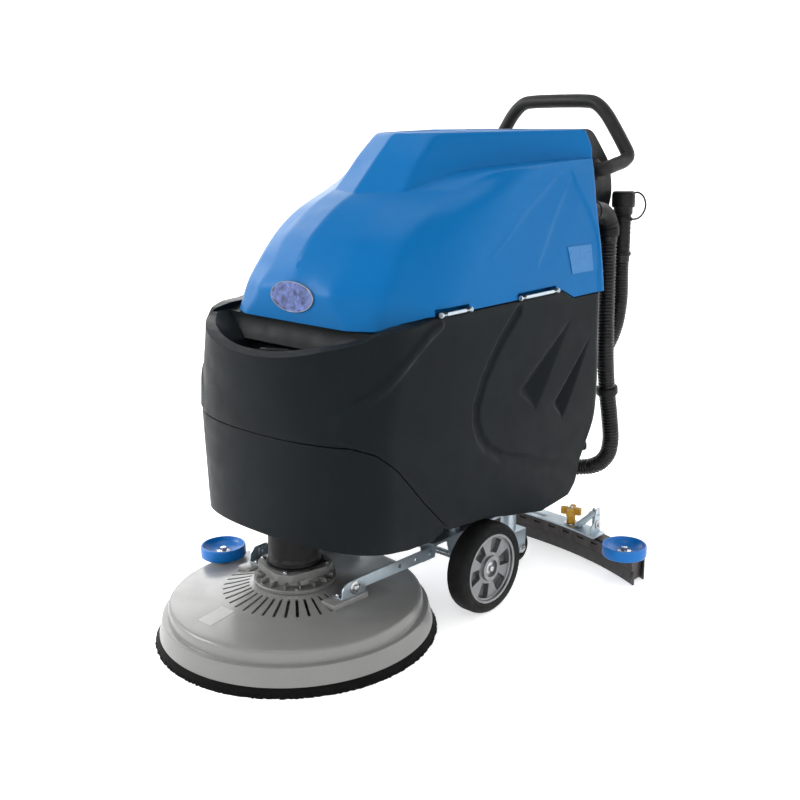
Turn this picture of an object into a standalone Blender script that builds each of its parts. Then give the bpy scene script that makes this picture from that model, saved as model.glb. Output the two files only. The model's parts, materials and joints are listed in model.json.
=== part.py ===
"""Walk-behind floor scrubber: a 21 inch disc-brush machine with a tipping recovery tank.

Metres, +Z up. The machine's front faces -Y and its left side is +X. Every size below is
measured from the centre of the brush deck on the floor; the empty "machine" then moves the
whole model so that the origin is at the bottom centre of its bounding box.
"""
import math

import bmesh
import bpy
from mathutils import Matrix, Vector

GAP = 0.0003

# Brush deck
SKIRT_RADIUS = 0.294
RING_RADIUS = 0.283
TIER_RADIUS = 0.262
RING_BOTTOM = 0.018
RING_SHOULDER = 0.055
TIER_TOP = 0.081
HUB_TOP = 0.112
VENT_INNER = 0.096
VENT_OUTER = 0.150
VENT_COUNT = 20
VENT_WIDTH = 0.005
BRUSH_RADIUS = 0.250
GEARBOX_TURN = math.radians(-12.5)
ARM_PLATE = 0.003
ARM_X = 0.138
ARM_FRONT = (0.030, 0.124)
ARM_REAR = (0.262, 0.120)
ROLLER_RADIUS = 0.050
ROLLER_HEIGHT = 0.027
DECK_ROLLER = (-0.252, 0.008, 0.0885)

# Wheels
WHEEL_RADIUS = 0.100
RIM_RADIUS = 0.077
WHEEL_FACE = 0.264
WHEEL_WIDTH = 0.052
AXLE_Y = 0.325
AXLE_RADIUS = 0.008
CASTER_X = 0.130
CASTER_Y = 0.550
CASTER_TRAIL = 0.028
CASTER_RADIUS = 0.0375
CASTER_HEAD = 0.150

# Lower body
BODY_REAR = 0.725
WALL = 0.005
RIM_Z = 0.666
FRONT_RIM_Z = 0.645
BAY_HALF_WIDTH = 0.200
BAY_FRONT = 0.262
BAY_FLOOR = 0.285
POCKET_FLOOR = 0.575

# Hood, which is the recovery tank
HOOD_BOTTOM = 0.668
HOOD_TOP = 1.000
HINGE_X = 0.268
HINGE_Z = 0.667
LID_HALF_WIDTH = 0.095
LID_FRONT = 0.420
LID_REAR = 0.655
LID_THICKNESS = 0.007

# Console, handle and hoses
CONSOLE_HALF_WIDTH = 0.172
CONSOLE_FRONT = 0.728
HANDLE_RADIUS = 0.0165
HANDLE_Y = 0.900
HOSE_RADIUS = 0.021
DRAIN_RADIUS = 0.0195
HOSE_X = 0.201
PANEL_EDGE = (0.787, 1.000)
PANEL_LENGTH = 0.106

# Squeegee
SQUEEGEE_HALF = 0.417
BLADE_CENTRE = 0.720
BLADE_SWEEP = 0.721
BLADE_POWER = 2.5
CASTING_DEPTH = 0.042
CASTING_TOP = 0.061
KNOB = (0.190, 0.722)
SQUEEGEE_ROLLER = (0.387, 0.645, 0.0648)
SWIVEL = (0.0, 0.500)
LIFT_PIVOT = (0.535, 0.128)

HANDLE_BACK = HANDLE_Y + HANDLE_RADIUS
CENTRE_Y = (HANDLE_BACK - SKIRT_RADIUS) / 2

# Joint axes of the moving bodies, from the deck's centre on the floor
PIVOTS = {
    "hood": (HINGE_X, 0.0, HINGE_Z),
    "tank_lid": (0.0, LID_REAR, HOOD_TOP),
    "deck_lift": (0.0, ARM_REAR[0], ARM_REAR[1]),
    "deck": (0.0, ARM_FRONT[0], ARM_FRONT[1]),
    "brush": (0.0, 0.0, 0.0),
    "deck_roller": DECK_ROLLER,
    "wheel_left": (WHEEL_FACE, AXLE_Y, WHEEL_RADIUS),
    "wheel_right": (-WHEEL_FACE, AXLE_Y, WHEEL_RADIUS),
    "caster_left": (CASTER_X, CASTER_Y, CASTER_HEAD),
    "caster_right": (-CASTER_X, CASTER_Y, CASTER_HEAD),
    "caster_wheel_left": (CASTER_X, CASTER_Y + CASTER_TRAIL, CASTER_RADIUS),
    "caster_wheel_right": (-CASTER_X, CASTER_Y + CASTER_TRAIL, CASTER_RADIUS),
    "squeegee_swing": (SWIVEL[0], SWIVEL[1], LIFT_PIVOT[1]),
    "squeegee": (0.0, LIFT_PIVOT[0], LIFT_PIVOT[1]),
    "knob_left": (KNOB[0], KNOB[1], CASTING_TOP),
    "knob_right": (-KNOB[0], KNOB[1], CASTING_TOP),
    "roller_left": SQUEEGEE_ROLLER,
    "roller_right": (-SQUEEGEE_ROLLER[0], SQUEEGEE_ROLLER[1], SQUEEGEE_ROLLER[2]),
    "squeegee_lever": (-0.110, 0.812, 0.660),
    "deck_lever": (0.010, 0.812, 0.660),
    "fill_cap": (0.0, -0.030, POCKET_FLOOR),
    "drain_cap": (HOSE_X, 0.885, 0.818),
    "brush_switch": (-0.070, PANEL_EDGE[0], PANEL_EDGE[1]),
    "vacuum_switch": (-0.030, PANEL_EDGE[0], PANEL_EDGE[1]),
    "key_switch": (-0.110, PANEL_EDGE[0], PANEL_EDGE[1]),
    "water_dial": (0.100, PANEL_EDGE[0], PANEL_EDGE[1]),
}

COLOURS = {
    "blue_hood": ((0.010, 0.140, 0.420), 0.25, 0.0),
    "charcoal_tank": ((0.020, 0.024, 0.028), 0.55, 0.0),
    "black_plastic": ((0.012, 0.012, 0.013), 0.50, 0.0),
    "black_hose": ((0.010, 0.010, 0.011), 0.45, 0.0),
    "grey_deck": ((0.300, 0.300, 0.290), 0.45, 0.0),
    "cast_grey": ((0.200, 0.205, 0.200), 0.50, 0.6),
    "zinc_steel": ((0.480, 0.540, 0.580), 0.30, 1.0),
    "aluminium_rim": ((0.500, 0.510, 0.520), 0.38, 0.9),
    "tyre_rubber": ((0.018, 0.018, 0.019), 0.80, 0.0),
    "blade_rubber": ((0.030, 0.030, 0.032), 0.70, 0.0),
    "roller_blue": ((0.004, 0.100, 0.550), 0.35, 0.0),
    "knob_yellow": ((0.520, 0.300, 0.030), 0.45, 0.0),
    "bristle_black": ((0.010, 0.010, 0.010), 0.90, 0.0),
    "motor_black": ((0.020, 0.020, 0.022), 0.40, 0.4),
    "switch_grey": ((0.080, 0.080, 0.085), 0.40, 0.0),
    "battery_grey": ((0.060, 0.062, 0.066), 0.60, 0.0),
    "badge_silver": ((0.420, 0.450, 0.600), 0.30, 0.2),
}

ACROSS = Matrix.Rotation(math.radians(90), 4, "Y")
ALONG = Matrix.Rotation(math.radians(-90), 4, "X")
PANEL_TILT = Matrix.Rotation(math.radians(-45), 4, "X")

bodies = {}


# ---------------------------------------------------------------- scene helpers
def clear_scene():
    for obj in list(bpy.data.objects):
        bpy.data.objects.remove(obj, do_unlink=True)


def new_collection(name):
    group = bpy.data.collections.new(name)
    bpy.context.scene.collection.children.link(group)
    return group


def material(name):
    if name in bpy.data.materials:
        return bpy.data.materials[name]
    colour, roughness, metallic = COLOURS[name]
    made = bpy.data.materials.new(name)
    made.use_nodes = True
    shader = made.node_tree.nodes["Principled BSDF"]
    shader.inputs["Base Color"].default_value = (*colour, 1.0)
    shader.inputs["Roughness"].default_value = roughness
    shader.inputs["Metallic"].default_value = metallic
    made.diffuse_color = (*colour, 1.0)
    return made


def make_bodies():
    """One empty for the whole machine, and one on the axis of each moving body."""
    machine = bpy.data.objects.new("machine", None)
    machine.location = (0.0, -CENTRE_Y, 0.0)
    parts.objects.link(machine)
    bodies["machine"] = (machine, Vector((0.0, 0.0, 0.0)))
    for name, pivot in PIVOTS.items():
        empty = bpy.data.objects.new("body_" + name, None)
        empty.parent = machine
        empty.location = pivot
        parts.objects.link(empty)
        bodies[name] = (empty, Vector(pivot))


def add(obj, body, colour):
    """Put a finished piece in the model, on its body, without moving it."""
    empty, pivot = bodies[body]
    obj.parent = empty
    obj.location = Vector(obj.location) - pivot
    obj.data.materials.clear()
    obj.data.materials.append(material(colour))
    parts.objects.link(obj)
    return obj


def as_cutter(obj):
    obj.parent = bodies["machine"][0]
    obj.hide_render = True
    obj.display_type = "WIRE"
    cutters.objects.link(obj)
    return obj


def boolean(obj, other, operation):
    as_cutter(other)
    step = obj.modifiers.new(other.name, "BOOLEAN")
    step.operation = operation
    step.object = other
    step.solver = "EXACT"
    return obj


def cut(obj, *others):
    for other in others:
        boolean(obj, other, "DIFFERENCE")
    return obj


def join(obj, *others):
    for other in others:
        boolean(obj, other, "UNION")
    return obj


def smooth(obj, degrees=35):
    obj.data.shade_smooth()
    obj.data.set_sharp_from_angle(angle=math.radians(degrees))
    return obj


# ---------------------------------------------------------------- shapes
def from_bmesh(name, bm):
    mesh = bpy.data.meshes.new(name)
    bmesh.ops.recalc_face_normals(bm, faces=bm.faces)
    bm.to_mesh(mesh)
    bm.free()
    return bpy.data.objects.new(name, mesh)


def box(name, low, high, bevel=0.0, turn=None):
    """A block between two corners, turned about its own centre if asked."""
    low, high = Vector(low), Vector(high)
    bm = bmesh.new()
    bmesh.ops.create_cube(bm, size=1.0)
    bmesh.ops.scale(bm, vec=high - low, verts=bm.verts)
    if turn:
        bmesh.ops.transform(bm, matrix=turn, verts=bm.verts)
    obj = from_bmesh(name, bm)
    obj.location = (low + high) / 2
    if bevel:
        rounded = obj.modifiers.new("edges", "BEVEL")
        rounded.width = bevel
        rounded.segments = 2
        rounded.limit_method = "ANGLE"
    return obj


def rod(name, radius, start, length, axis=None, sides=16, tip=None):
    """A round bar from start, along +Z or along the turned axis."""
    bm = bmesh.new()
    bmesh.ops.create_cone(
        bm, cap_ends=True, segments=sides, radius1=radius,
        radius2=radius if tip is None else tip, depth=length,
    )
    bmesh.ops.translate(bm, vec=(0.0, 0.0, length / 2), verts=bm.verts)
    if axis:
        bmesh.ops.transform(bm, matrix=axis, verts=bm.verts)
    obj = from_bmesh(name, bm)
    obj.location = start
    return smooth(obj)


def turned(name, profile, place, axis=None, steps=40, closed=True):
    """A profile of (radius, height) swept round +Z, or round the turned axis."""
    mesh = bpy.data.meshes.new(name)
    edges = [(i, i + 1) for i in range(len(profile) - 1)]
    if closed:
        edges.append((len(profile) - 1, 0))
    mesh.from_pydata([(r, 0.0, z) for r, z in profile], edges, [])
    obj = bpy.data.objects.new(name, mesh)
    obj.location = place
    if axis:
        obj.rotation_euler = axis.to_euler()
    screw = obj.modifiers.new("turn", "SCREW")
    screw.steps = steps
    screw.render_steps = steps
    screw.use_merge_vertices = True
    screw.merge_threshold = 0.0001
    screw.use_smooth_shade = True
    return obj


def curve_object(name, points, cyclic, flat):
    data = bpy.data.curves.new(name, "CURVE")
    data.dimensions = "2D" if flat else "3D"
    spline = data.splines.new("POLY")
    spline.points.add(len(points) - 1)
    for spot, point in zip(spline.points, points):
        spot.co = (*point, 0.0, 1.0) if flat else (*point, 1.0)
    spline.use_cyclic_u = cyclic
    return bpy.data.objects.new(name, data)


def meshed(obj):
    """The same piece as a mesh, with its caps welded, so that it can be cut or joined."""
    scene = bpy.context.scene.collection
    scene.objects.link(obj)
    bpy.context.view_layer.update()
    seen = obj.evaluated_get(bpy.context.evaluated_depsgraph_get())
    mesh = bpy.data.meshes.new_from_object(seen)
    bm = bmesh.new()
    bm.from_mesh(mesh)
    bmesh.ops.remove_doubles(bm, verts=bm.verts, dist=0.00001)
    bmesh.ops.recalc_face_normals(bm, faces=bm.faces)
    bm.to_mesh(mesh)
    bm.free()
    name = obj.name
    bpy.data.objects.remove(obj, do_unlink=True)
    made = bpy.data.objects.new(name, mesh)
    return made


def plate(name, outline, low, high):
    """A flat outline of (x, y) points, thick from z = low to z = high."""
    flat = curve_object(name, outline, True, True)
    flat.data.fill_mode = "BOTH"
    flat.data.extrude = (high - low) / 2
    obj = meshed(flat)
    obj.data.transform(Matrix.Translation((0.0, 0.0, (low + high) / 2)))
    return obj


def side_plate(name, outline, low, high):
    """A flat outline of (y, z) points, thick from x = low to x = high."""
    obj = plate(name, outline, low, high)
    # (u, v, w) of the plate become (y, z, x) of the machine
    obj.data.transform(Matrix(((0, 0, 1, 0), (1, 0, 0, 0), (0, 1, 0, 0), (0, 0, 0, 1))))
    return obj


def smooth_route(points, spacing):
    """Points about spacing apart on a smooth curve through the given points."""
    points = [Vector(p) for p in points]
    ends = [2 * points[0] - points[1], *points, 2 * points[-1] - points[-2]]
    route = []
    for before, start, end, after in zip(ends, ends[1:], ends[2:], ends[3:]):
        count = max(1, round((end - start).length / spacing))
        for i in range(count):
            t = i / count
            bend = (end - before) * t + (2 * before - 5 * start + 4 * end - after) * t**2
            bend += (3 * start - before - 3 * end + after) * t**3
            route.append(start + bend / 2)
    return [*route, points[-1]]


def tube(name, points, radius, resolution=2):
    obj = curve_object(name, points, False, False)
    obj.data.bevel_depth = radius
    obj.data.bevel_resolution = resolution
    obj.data.use_fill_caps = True
    return obj


def loft(name, rings):
    """A closed skin over rings of points that all have the same count."""
    bm = bmesh.new()
    rows = [[bm.verts.new(point) for point in ring] for ring in rings]
    count = len(rows[0])
    for lower, upper in zip(rows, rows[1:]):
        for i in range(count):
            j = (i + 1) % count
            bm.faces.new((lower[i], lower[j], upper[j], upper[i]))
    bm.faces.new(list(reversed(rows[0])))
    bm.faces.new(rows[-1])
    bmesh.ops.triangulate(bm, faces=[f for f in bm.faces if len(f.verts) == 4])
    return from_bmesh(name, bm)


# ---------------------------------------------------------------- lower body
def body_ring(z, half_width, middle, depth, power, inset):
    """The body's plan at one height: a rounded front, straight sides, rounded rear corners."""
    half_width -= inset
    depth -= inset
    points = []
    for i in range(17):
        angle = math.pi * i / 16
        across, forward = math.cos(angle), math.sin(angle)
        x = half_width * math.copysign(abs(across) ** (2 / power), across)
        points.append((x, middle - depth * forward ** (2 / power), z))
    corner = 0.035
    rear = BODY_REAR - inset - corner
    for start, side in ((180, -1), (90, 1)):
        for i in range(4):
            angle = math.radians(start - 30 * i)
            x = side * (half_width - corner) + corner * math.cos(angle)
            points.append((x, rear + corner * math.sin(angle), z))
    return points


def body_loft(name, inset=0.0):
    """Heights with half width, middle and depth of the front curve, and its squareness."""
    sections = (
        (0.150, 0.241, 0.040, 0.148, 2.2),
        (0.215, 0.248, 0.040, 0.150, 2.2),
        (0.330, 0.258, 0.034, 0.138, 2.2),
        (0.440, 0.264, 0.030, 0.130, 2.2),
        (0.560, 0.262, 0.060, 0.160, 2.2),
        (0.640, 0.262, 0.088, 0.188, 2.1),
        (0.670, 0.265, 0.088, 0.188, 2.1),
    )
    return loft(name, [body_ring(*section, inset) for section in sections])


def seam_line(offset):
    """The seam between tank and front shell in side view, moved up and back by offset."""
    line = ((-0.200, 0.452), (-0.047, 0.448), (-0.013, 0.433), (0.038, 0.390),
            (0.118, 0.303), (0.200, 0.222))
    return [(y + 0.7 * offset, z + 0.7 * offset) for y, z in line]


def solution_tank():
    """The charcoal tank: battery bay open on top, water space in front and underneath."""
    profile = [
        *seam_line(0.0005), (0.325, 0.212), (0.394, 0.195), (0.523, 0.1685),
        (0.586, 0.175), (0.626, 0.180), (0.648, 0.206), (0.655, 0.257),
        (0.701, 0.354), (0.716, 0.415), (0.728, 0.424), (0.728, FRONT_RIM_Z),
        (0.600, FRONT_RIM_Z), (0.560, RIM_Z), (0.048, RIM_Z), (0.008, 0.655),
        (-0.014, 0.640), (-0.042, 0.632), (-0.062, 0.625), (-0.080, 0.616), (-0.100, 0.604),
        (-0.200, 0.590),
    ]
    tank = body_loft("solution_tank")
    boolean(tank, side_plate("tank_profile", profile, -0.30, 0.30), "INTERSECT")
    for name, x, z, radius in HOSE_BOSSES:
        join(tank, rod(name, radius, (x, 0.680, z), BOSS_END - 0.680, axis=ALONG, sides=20))
    bay_side = [(BAY_FRONT, BAY_FLOOR), (0.660, BAY_FLOOR), (0.690, 0.348), (0.706, 0.412),
                (0.717, 0.428), (0.717, 0.700), (BAY_FRONT, 0.700)]
    bay = side_plate("bay_space", bay_side, -BAY_HALF_WIDTH, BAY_HALF_WIDTH)
    pocket = pocket_space("pocket_space", 0.018, POCKET_FLOOR, 0.700)
    water = body_loft("water_space", WALL)
    limits = [
        *seam_line(0.009), (0.330, 0.222), (0.400, 0.204), (0.530, 0.178), (0.600, 0.184),
        (0.640, 0.215), (0.648, 0.260), (0.650, BAY_FLOOR - WALL),
        (BAY_FRONT - WALL, BAY_FLOOR - WALL), (BAY_FRONT - WALL, 0.655), (0.060, 0.655),
        (0.040, POCKET_FLOOR - WALL), (-0.200, POCKET_FLOOR - WALL),
    ]
    boolean(water, side_plate("water_limits", limits, -0.29, 0.29), "INTERSECT")
    mouth = rod("fill_mouth", 0.034, (0.0, -0.030, POCKET_FLOOR - 0.02), 0.04)
    hood_seat = box("hood_seat", (-0.216, -0.010, FRONT_RIM_Z), (0.216, 0.0475, 0.700))
    cut(tank, bay, pocket, water, mouth, hood_seat)
    add(tank, "machine", "charcoal_tank")


def pocket_space(name, margin, low, high):
    """The hollow in front of the hood that the solution is poured into."""
    rear = 0.030
    points = []
    for i in range(15):
        angle = math.pi * i / 14
        x = (0.235 - margin) * math.copysign(abs(math.cos(angle)) ** 0.9, math.cos(angle))
        points.append((x, rear - (0.128 - margin) * math.sin(angle) ** 0.9))
    return plate(name, points, low, high)


def front_shell():
    """The shroud below the seam, open underneath, round the brush motor."""
    profile = [
        (-0.200, 0.4515), (-0.047, 0.4475), (-0.0135, 0.4325), (0.0375, 0.3895),
        (0.1175, 0.3025), (0.190, 0.2300), (0.151, 0.213), (0.079, 0.216),
        (-0.033, 0.234), (-0.112, 0.251), (-0.200, 0.265),
    ]
    inside = [
        (-0.200, 0.4450), (-0.050, 0.4420), (-0.018, 0.4280), (0.032, 0.3850),
        (0.111, 0.2990), (0.170, 0.2370), (0.170, 0.180), (-0.200, 0.180),
    ]
    shell = body_loft("front_shell")
    boolean(shell, side_plate("shell_profile", profile, -0.30, 0.30), "INTERSECT")
    hollow = body_loft("shell_space", WALL)
    boolean(hollow, side_plate("shell_inside", inside, -0.29, 0.29), "INTERSECT")
    cut(shell, hollow)
    add(shell, "machine", "charcoal_tank")


def batteries():
    for side, x in (("left", 0.003), ("right", -0.181)):
        low = (x, 0.300, BAY_FLOOR + GAP)
        case = box("battery_" + side, low, (x + 0.178, 0.630, 0.510), bevel=0.006)
        for y in (0.340, 0.590):
            join(case, rod(f"terminal_{side}_{y:.2f}", 0.009, (x + 0.089, y, 0.505), 0.020))
        add(case, "machine", "battery_grey")


def fill_cap():
    """The screwed cap of the filling mouth, with a grip bar across it."""
    x, y, z = PIVOTS["fill_cap"]
    cap = turned("fill_cap", [(0.0, 0.016), (0.040, 0.016), (0.046, 0.012), (0.046, GAP),
                              (0.0, GAP)], (x, y, z), closed=False)
    join(cap, box("cap_grip", (-0.034, y - 0.006, z + 0.010), (0.034, y + 0.006, z + 0.026)))
    add(cap, "fill_cap", "black_plastic")


# ---------------------------------------------------------------- hood
def hood_rings(inset):
    """Half outlines at each height: front ridge, neck corner, neck foot, shoulder corner, side
    and rear, with the rear corner cut. An inset ring also lies lower under the shoulder."""
    sections = (
        (0.645, 0.018, (0.150, 0.019), (0.180, 0.030), (0.206, 0.048), (0.262, 0.135), (0.265, 0.722)),
        (0.700, 0.020, (0.105, 0.022), (0.160, 0.045), (0.200, 0.068), (0.259, 0.165), (0.262, 0.718)),
        (0.750, 0.031, (0.100, 0.062), (0.150, 0.079), (0.195, 0.094), (0.254, 0.210), (0.258, 0.714)),
        (0.800, 0.066, (0.100, 0.098), (0.150, 0.118), (0.188, 0.138), (0.248, 0.260), (0.252, 0.710)),
        (0.850, 0.125, (0.100, 0.150), (0.140, 0.177), (0.176, 0.203), (0.242, 0.310), (0.247, 0.705)),
        (0.889, 0.198, (0.098, 0.234), (0.130, 0.262), (0.168, 0.298), (0.241, 0.375), (0.244, 0.702)),
        (0.915, 0.224, (0.096, 0.257), (0.135, 0.360), (0.196, 0.365), (0.2405, 0.430), (0.242, 0.700)),
        (0.935, 0.245, (0.093, 0.278), (0.168, 0.460), (0.236, 0.500), (0.238, 0.560), (0.239, 0.698)),
        (0.950, 0.261, (0.091, 0.290), (0.160, 0.484), (0.195, 0.582), (0.215, 0.638), (0.236, 0.697)),
        (1.000, 0.315, (0.084, 0.345), (0.140, 0.480), (0.172, 0.560), (0.195, 0.620), (0.222, 0.690)),
    )
    rings = []
    for z, ridge, *half in sections:
        if inset and 0.86 < z < HOOD_TOP:
            z -= 0.005
        half = [(x - inset, y + inset) for x, y in half]
        rear_x, rear_y = half.pop()
        rear_y -= 2 * inset
        half += [(rear_x, rear_y - 0.020), (rear_x - 0.020, rear_y)]
        other = [(-x, y) for x, y in reversed(half)]
        rings.append([(x, y, z) for x, y in [(0.0, ridge + inset), *half, *other]])
    return rings


def hood():
    """The blue recovery tank: a hollow hood with a lid opening in its flat top."""
    shell = loft("recovery_tank", hood_rings(0.0))
    under = [(-0.100, 0.600), (-0.100, 0.6475), (0.0455, 0.6475), (0.0455, HOOD_BOTTOM),
             (0.5605, HOOD_BOTTOM), (0.6005, 0.6475), (0.800, 0.6475), (0.800, 0.600)]
    inner = loft("hood_space", hood_rings(WALL))
    floor = [(-0.100, 0.600), (-0.100, HOOD_BOTTOM + WALL), (0.800, HOOD_BOTTOM + WALL),
             (0.800, 0.600)]
    ceiling = HOOD_TOP - LID_THICKNESS - 0.005
    cut(inner, side_plate("hood_floor", floor, -0.30, 0.30),
        box("hood_ceiling", (-0.30, 0.0, ceiling), (0.30, 0.80, 1.10)))
    cut(shell, side_plate("hood_under", under, -0.30, 0.30), inner)
    margin = 0.012
    recess = box("lid_recess", (-LID_HALF_WIDTH - 0.001, LID_FRONT - 0.001,
                                HOOD_TOP - LID_THICKNESS - GAP),
                 (LID_HALF_WIDTH + 0.001, LID_REAR + 0.001, HOOD_TOP + 0.02))
    mouth = box("lid_mouth", (-LID_HALF_WIDTH + margin, LID_FRONT + margin, 0.95),
                (LID_HALF_WIDTH - margin, LID_REAR - margin, 1.05))
    cut(shell, recess, mouth)
    for start, end in HINGE_SPANS:
        cut(shell, box(f"hinge_notch_{start:.2f}", (0.236, start - 0.004, 0.600),
                       (0.300, end + 0.004, 0.681)))
    add(shell, "hood", "blue_hood")
    lid = box("tank_lid", (-LID_HALF_WIDTH, LID_FRONT, HOOD_TOP - LID_THICKNESS),
              (LID_HALF_WIDTH, LID_REAR, HOOD_TOP - 0.0005), bevel=0.0015)
    add(lid, "tank_lid", "blue_hood")
    badge = rod("front_badge", 0.5, (0.0, 0.0, 0.0), 1.0, sides=36)
    lean = Matrix.Translation((0.0, 0.0190, 0.697)) @ Matrix.Rotation(math.radians(85), 4, "X")
    badge.data.transform(lean @ Matrix.Diagonal((0.110, 0.070, 0.002, 1.0)))
    add(badge, "hood", "badge_silver")


HINGE_SPANS = ((0.156, 0.242), (0.402, 0.531))


def hood_hinges():
    """Steel rods on black blocks along the left seam; the hood turns on them."""
    for name, (start, end) in zip(("hinge_front", "hinge_rear"), HINGE_SPANS):
        block = box(name, (0.240, start, RIM_Z + GAP), (0.2655, end, 0.6695))
        pin = rod(name + "_pin", 0.0042, (HINGE_X - 0.0005, start - 0.002, 0.6712),
                  end - start + 0.004, axis=ALONG)
        join(block, pin)
        add(block, "machine", "zinc_steel")


# ---------------------------------------------------------------- console and handle
def console():
    profile = [
        (CONSOLE_FRONT, 0.560), (CONSOLE_FRONT, 0.992), (0.736, 1.000), PANEL_EDGE,
        (0.862, 0.925), (0.876, 0.885), (0.880, 0.845), (0.860, 0.800), (0.810, 0.745),
        (0.790, 0.700), (0.780, 0.560),
    ]
    inside = [
        (CONSOLE_FRONT + WALL, 0.550), (CONSOLE_FRONT + WALL, 0.990), (0.783, 0.994),
        (0.856, 0.921), (0.870, 0.884), (0.874, 0.848), (0.855, 0.805), (0.805, 0.749),
        (0.785, 0.702), (0.775, 0.550),
    ]
    body = side_plate("console", profile, -CONSOLE_HALF_WIDTH, CONSOLE_HALF_WIDTH)
    hollow = side_plate("console_space", inside, -CONSOLE_HALF_WIDTH + WALL,
                        CONSOLE_HALF_WIDTH - WALL)
    cut(body, hollow)
    join(body, *lever_mount("squeegee_lever"), *lever_mount("deck_lever"))
    for name in ("brush_switch", "vacuum_switch", "key_switch", "water_dial"):
        seat = panel_seat(name)
        cut(body, rod(name + "_hole", 0.0095, seat - PANEL_NORMAL * 0.02, 0.04, PANEL_TILT))
    add(body, "machine", "black_plastic")
    motor = turned("vacuum_motor", [(0.0, 0.100), (0.034, 0.100), (0.038, 0.094),
                                    (0.038, 0.040), (0.046, 0.036), (0.046, 0.0), (0.0, 0.0)],
                   (0.0, 0.790, 0.800), closed=False, steps=24)
    add(motor, "machine", "motor_black")


PANEL_NORMAL = Vector((0.0, math.sqrt(0.5), math.sqrt(0.5)))
PANEL_DOWN = Vector((0.0, math.sqrt(0.5), -math.sqrt(0.5)))


def panel_seat(name):
    """The middle of a control on the console's slanted face."""
    return Vector(PIVOTS[name]) + PANEL_DOWN * (PANEL_LENGTH / 2)


def controls():
    """Two push switches, a key switch, a water dial and the charge display."""
    for name in ("brush_switch", "vacuum_switch"):
        seat = panel_seat(name)
        stem = rod(name, 0.0085, seat - PANEL_NORMAL * 0.010, 0.016, PANEL_TILT)
        join(stem, rod(name + "_head", 0.0125, seat + PANEL_NORMAL * 0.004, 0.007, PANEL_TILT))
        add(stem, name, "switch_grey")
    seat = panel_seat("key_switch")
    key = rod("key_switch", 0.0080, seat - PANEL_NORMAL * 0.012, 0.014, PANEL_TILT)
    bow = box("key_bow", seat + Vector((-0.009, -0.0015, 0.0)),
              seat + Vector((0.009, 0.0015, 0.036)), turn=PANEL_TILT)
    bow.location = seat + PANEL_NORMAL * 0.0195
    join(key, bow)
    add(key, "key_switch", "zinc_steel")
    seat = panel_seat("water_dial")
    dial = rod("water_dial", 0.0085, seat - PANEL_NORMAL * 0.010, 0.014, PANEL_TILT)
    join(dial, rod("dial_head", 0.019, seat + PANEL_NORMAL * 0.0005, 0.014, PANEL_TILT, tip=0.016))
    add(dial, "water_dial", "black_plastic")
    middle = Vector((0.035, PANEL_EDGE[0], PANEL_EDGE[1])) + PANEL_DOWN * (PANEL_LENGTH / 2)
    half = Vector((0.034, 0.030, 0.002))
    seat = middle + PANEL_NORMAL * (half.z + GAP)
    display = box("charge_display", seat - half, seat + half, bevel=0.001, turn=PANEL_TILT)
    add(display, "machine", "switch_grey")


def handle():
    """A bent tube hoop that leaves the console's sides and rises behind it."""
    route = [
        (CONSOLE_HALF_WIDTH + GAP, 0.801, 0.908), (0.186, 0.801, 0.908),
        (0.196, 0.815, 0.911), (0.199, 0.850, 0.918), (0.2005, 0.884, 0.926),
        (0.197, HANDLE_Y, 0.944), (0.160, HANDLE_Y, 1.000), (0.133, HANDLE_Y, 1.035),
        (0.105, HANDLE_Y, 1.056), (0.072, HANDLE_Y, 1.061), (0.0, HANDLE_Y, 1.062),
    ]
    route += [(-x, y, z) for x, y, z in reversed(route[:-1])]
    add(tube("handle_bar", route, HANDLE_RADIUS), "machine", "black_plastic")


# ---------------------------------------------------------------- hoses
BOSS_END = 0.7435
HOSE_BOSSES = (("drain_boss", 0.115, 0.408, 0.024), ("sump_boss", 0.145, 0.330, 0.018))
SQUEEGEE_ROUTE = (
    (0.201, 0.826, 0.7565), (0.201, 0.826, 0.7000), (0.201, 0.827, 0.6200),
    (0.200, 0.830, 0.5400), (0.199, 0.836, 0.4600), (0.199, 0.847, 0.3800),
    (0.200, 0.861, 0.3100), (0.199, 0.872, 0.2500), (0.187, 0.878, 0.2050),
    (0.160, 0.876, 0.1740), (0.124, 0.864, 0.1620), (0.086, 0.838, 0.1600),
    (0.0606, 0.8126, 0.1600),
)
HOSE_SPLIT = 5
CLIP_GAP = 0.0015
DRAIN_ROUTE = (
    (0.201, 0.885, 0.7040), (0.201, 0.885, 0.6600), (0.200, 0.888, 0.6000),
    (0.192, 0.888, 0.5400), (0.178, 0.880, 0.4900), (0.158, 0.862, 0.4500),
    (0.137, 0.833, 0.4230), (0.121, 0.798, 0.4100), (0.115, 0.768, 0.4080),
    (0.115, 0.7445, 0.4080),
)
SUMP_ROUTE = (
    (0.145, 0.7440, 0.3300), (0.145, 0.7680, 0.3300), (0.147, 0.7920, 0.3220),
    (0.149, 0.8070, 0.3000), (0.150, 0.8110, 0.2750), (0.150, 0.8110, 0.2480),
)


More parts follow.
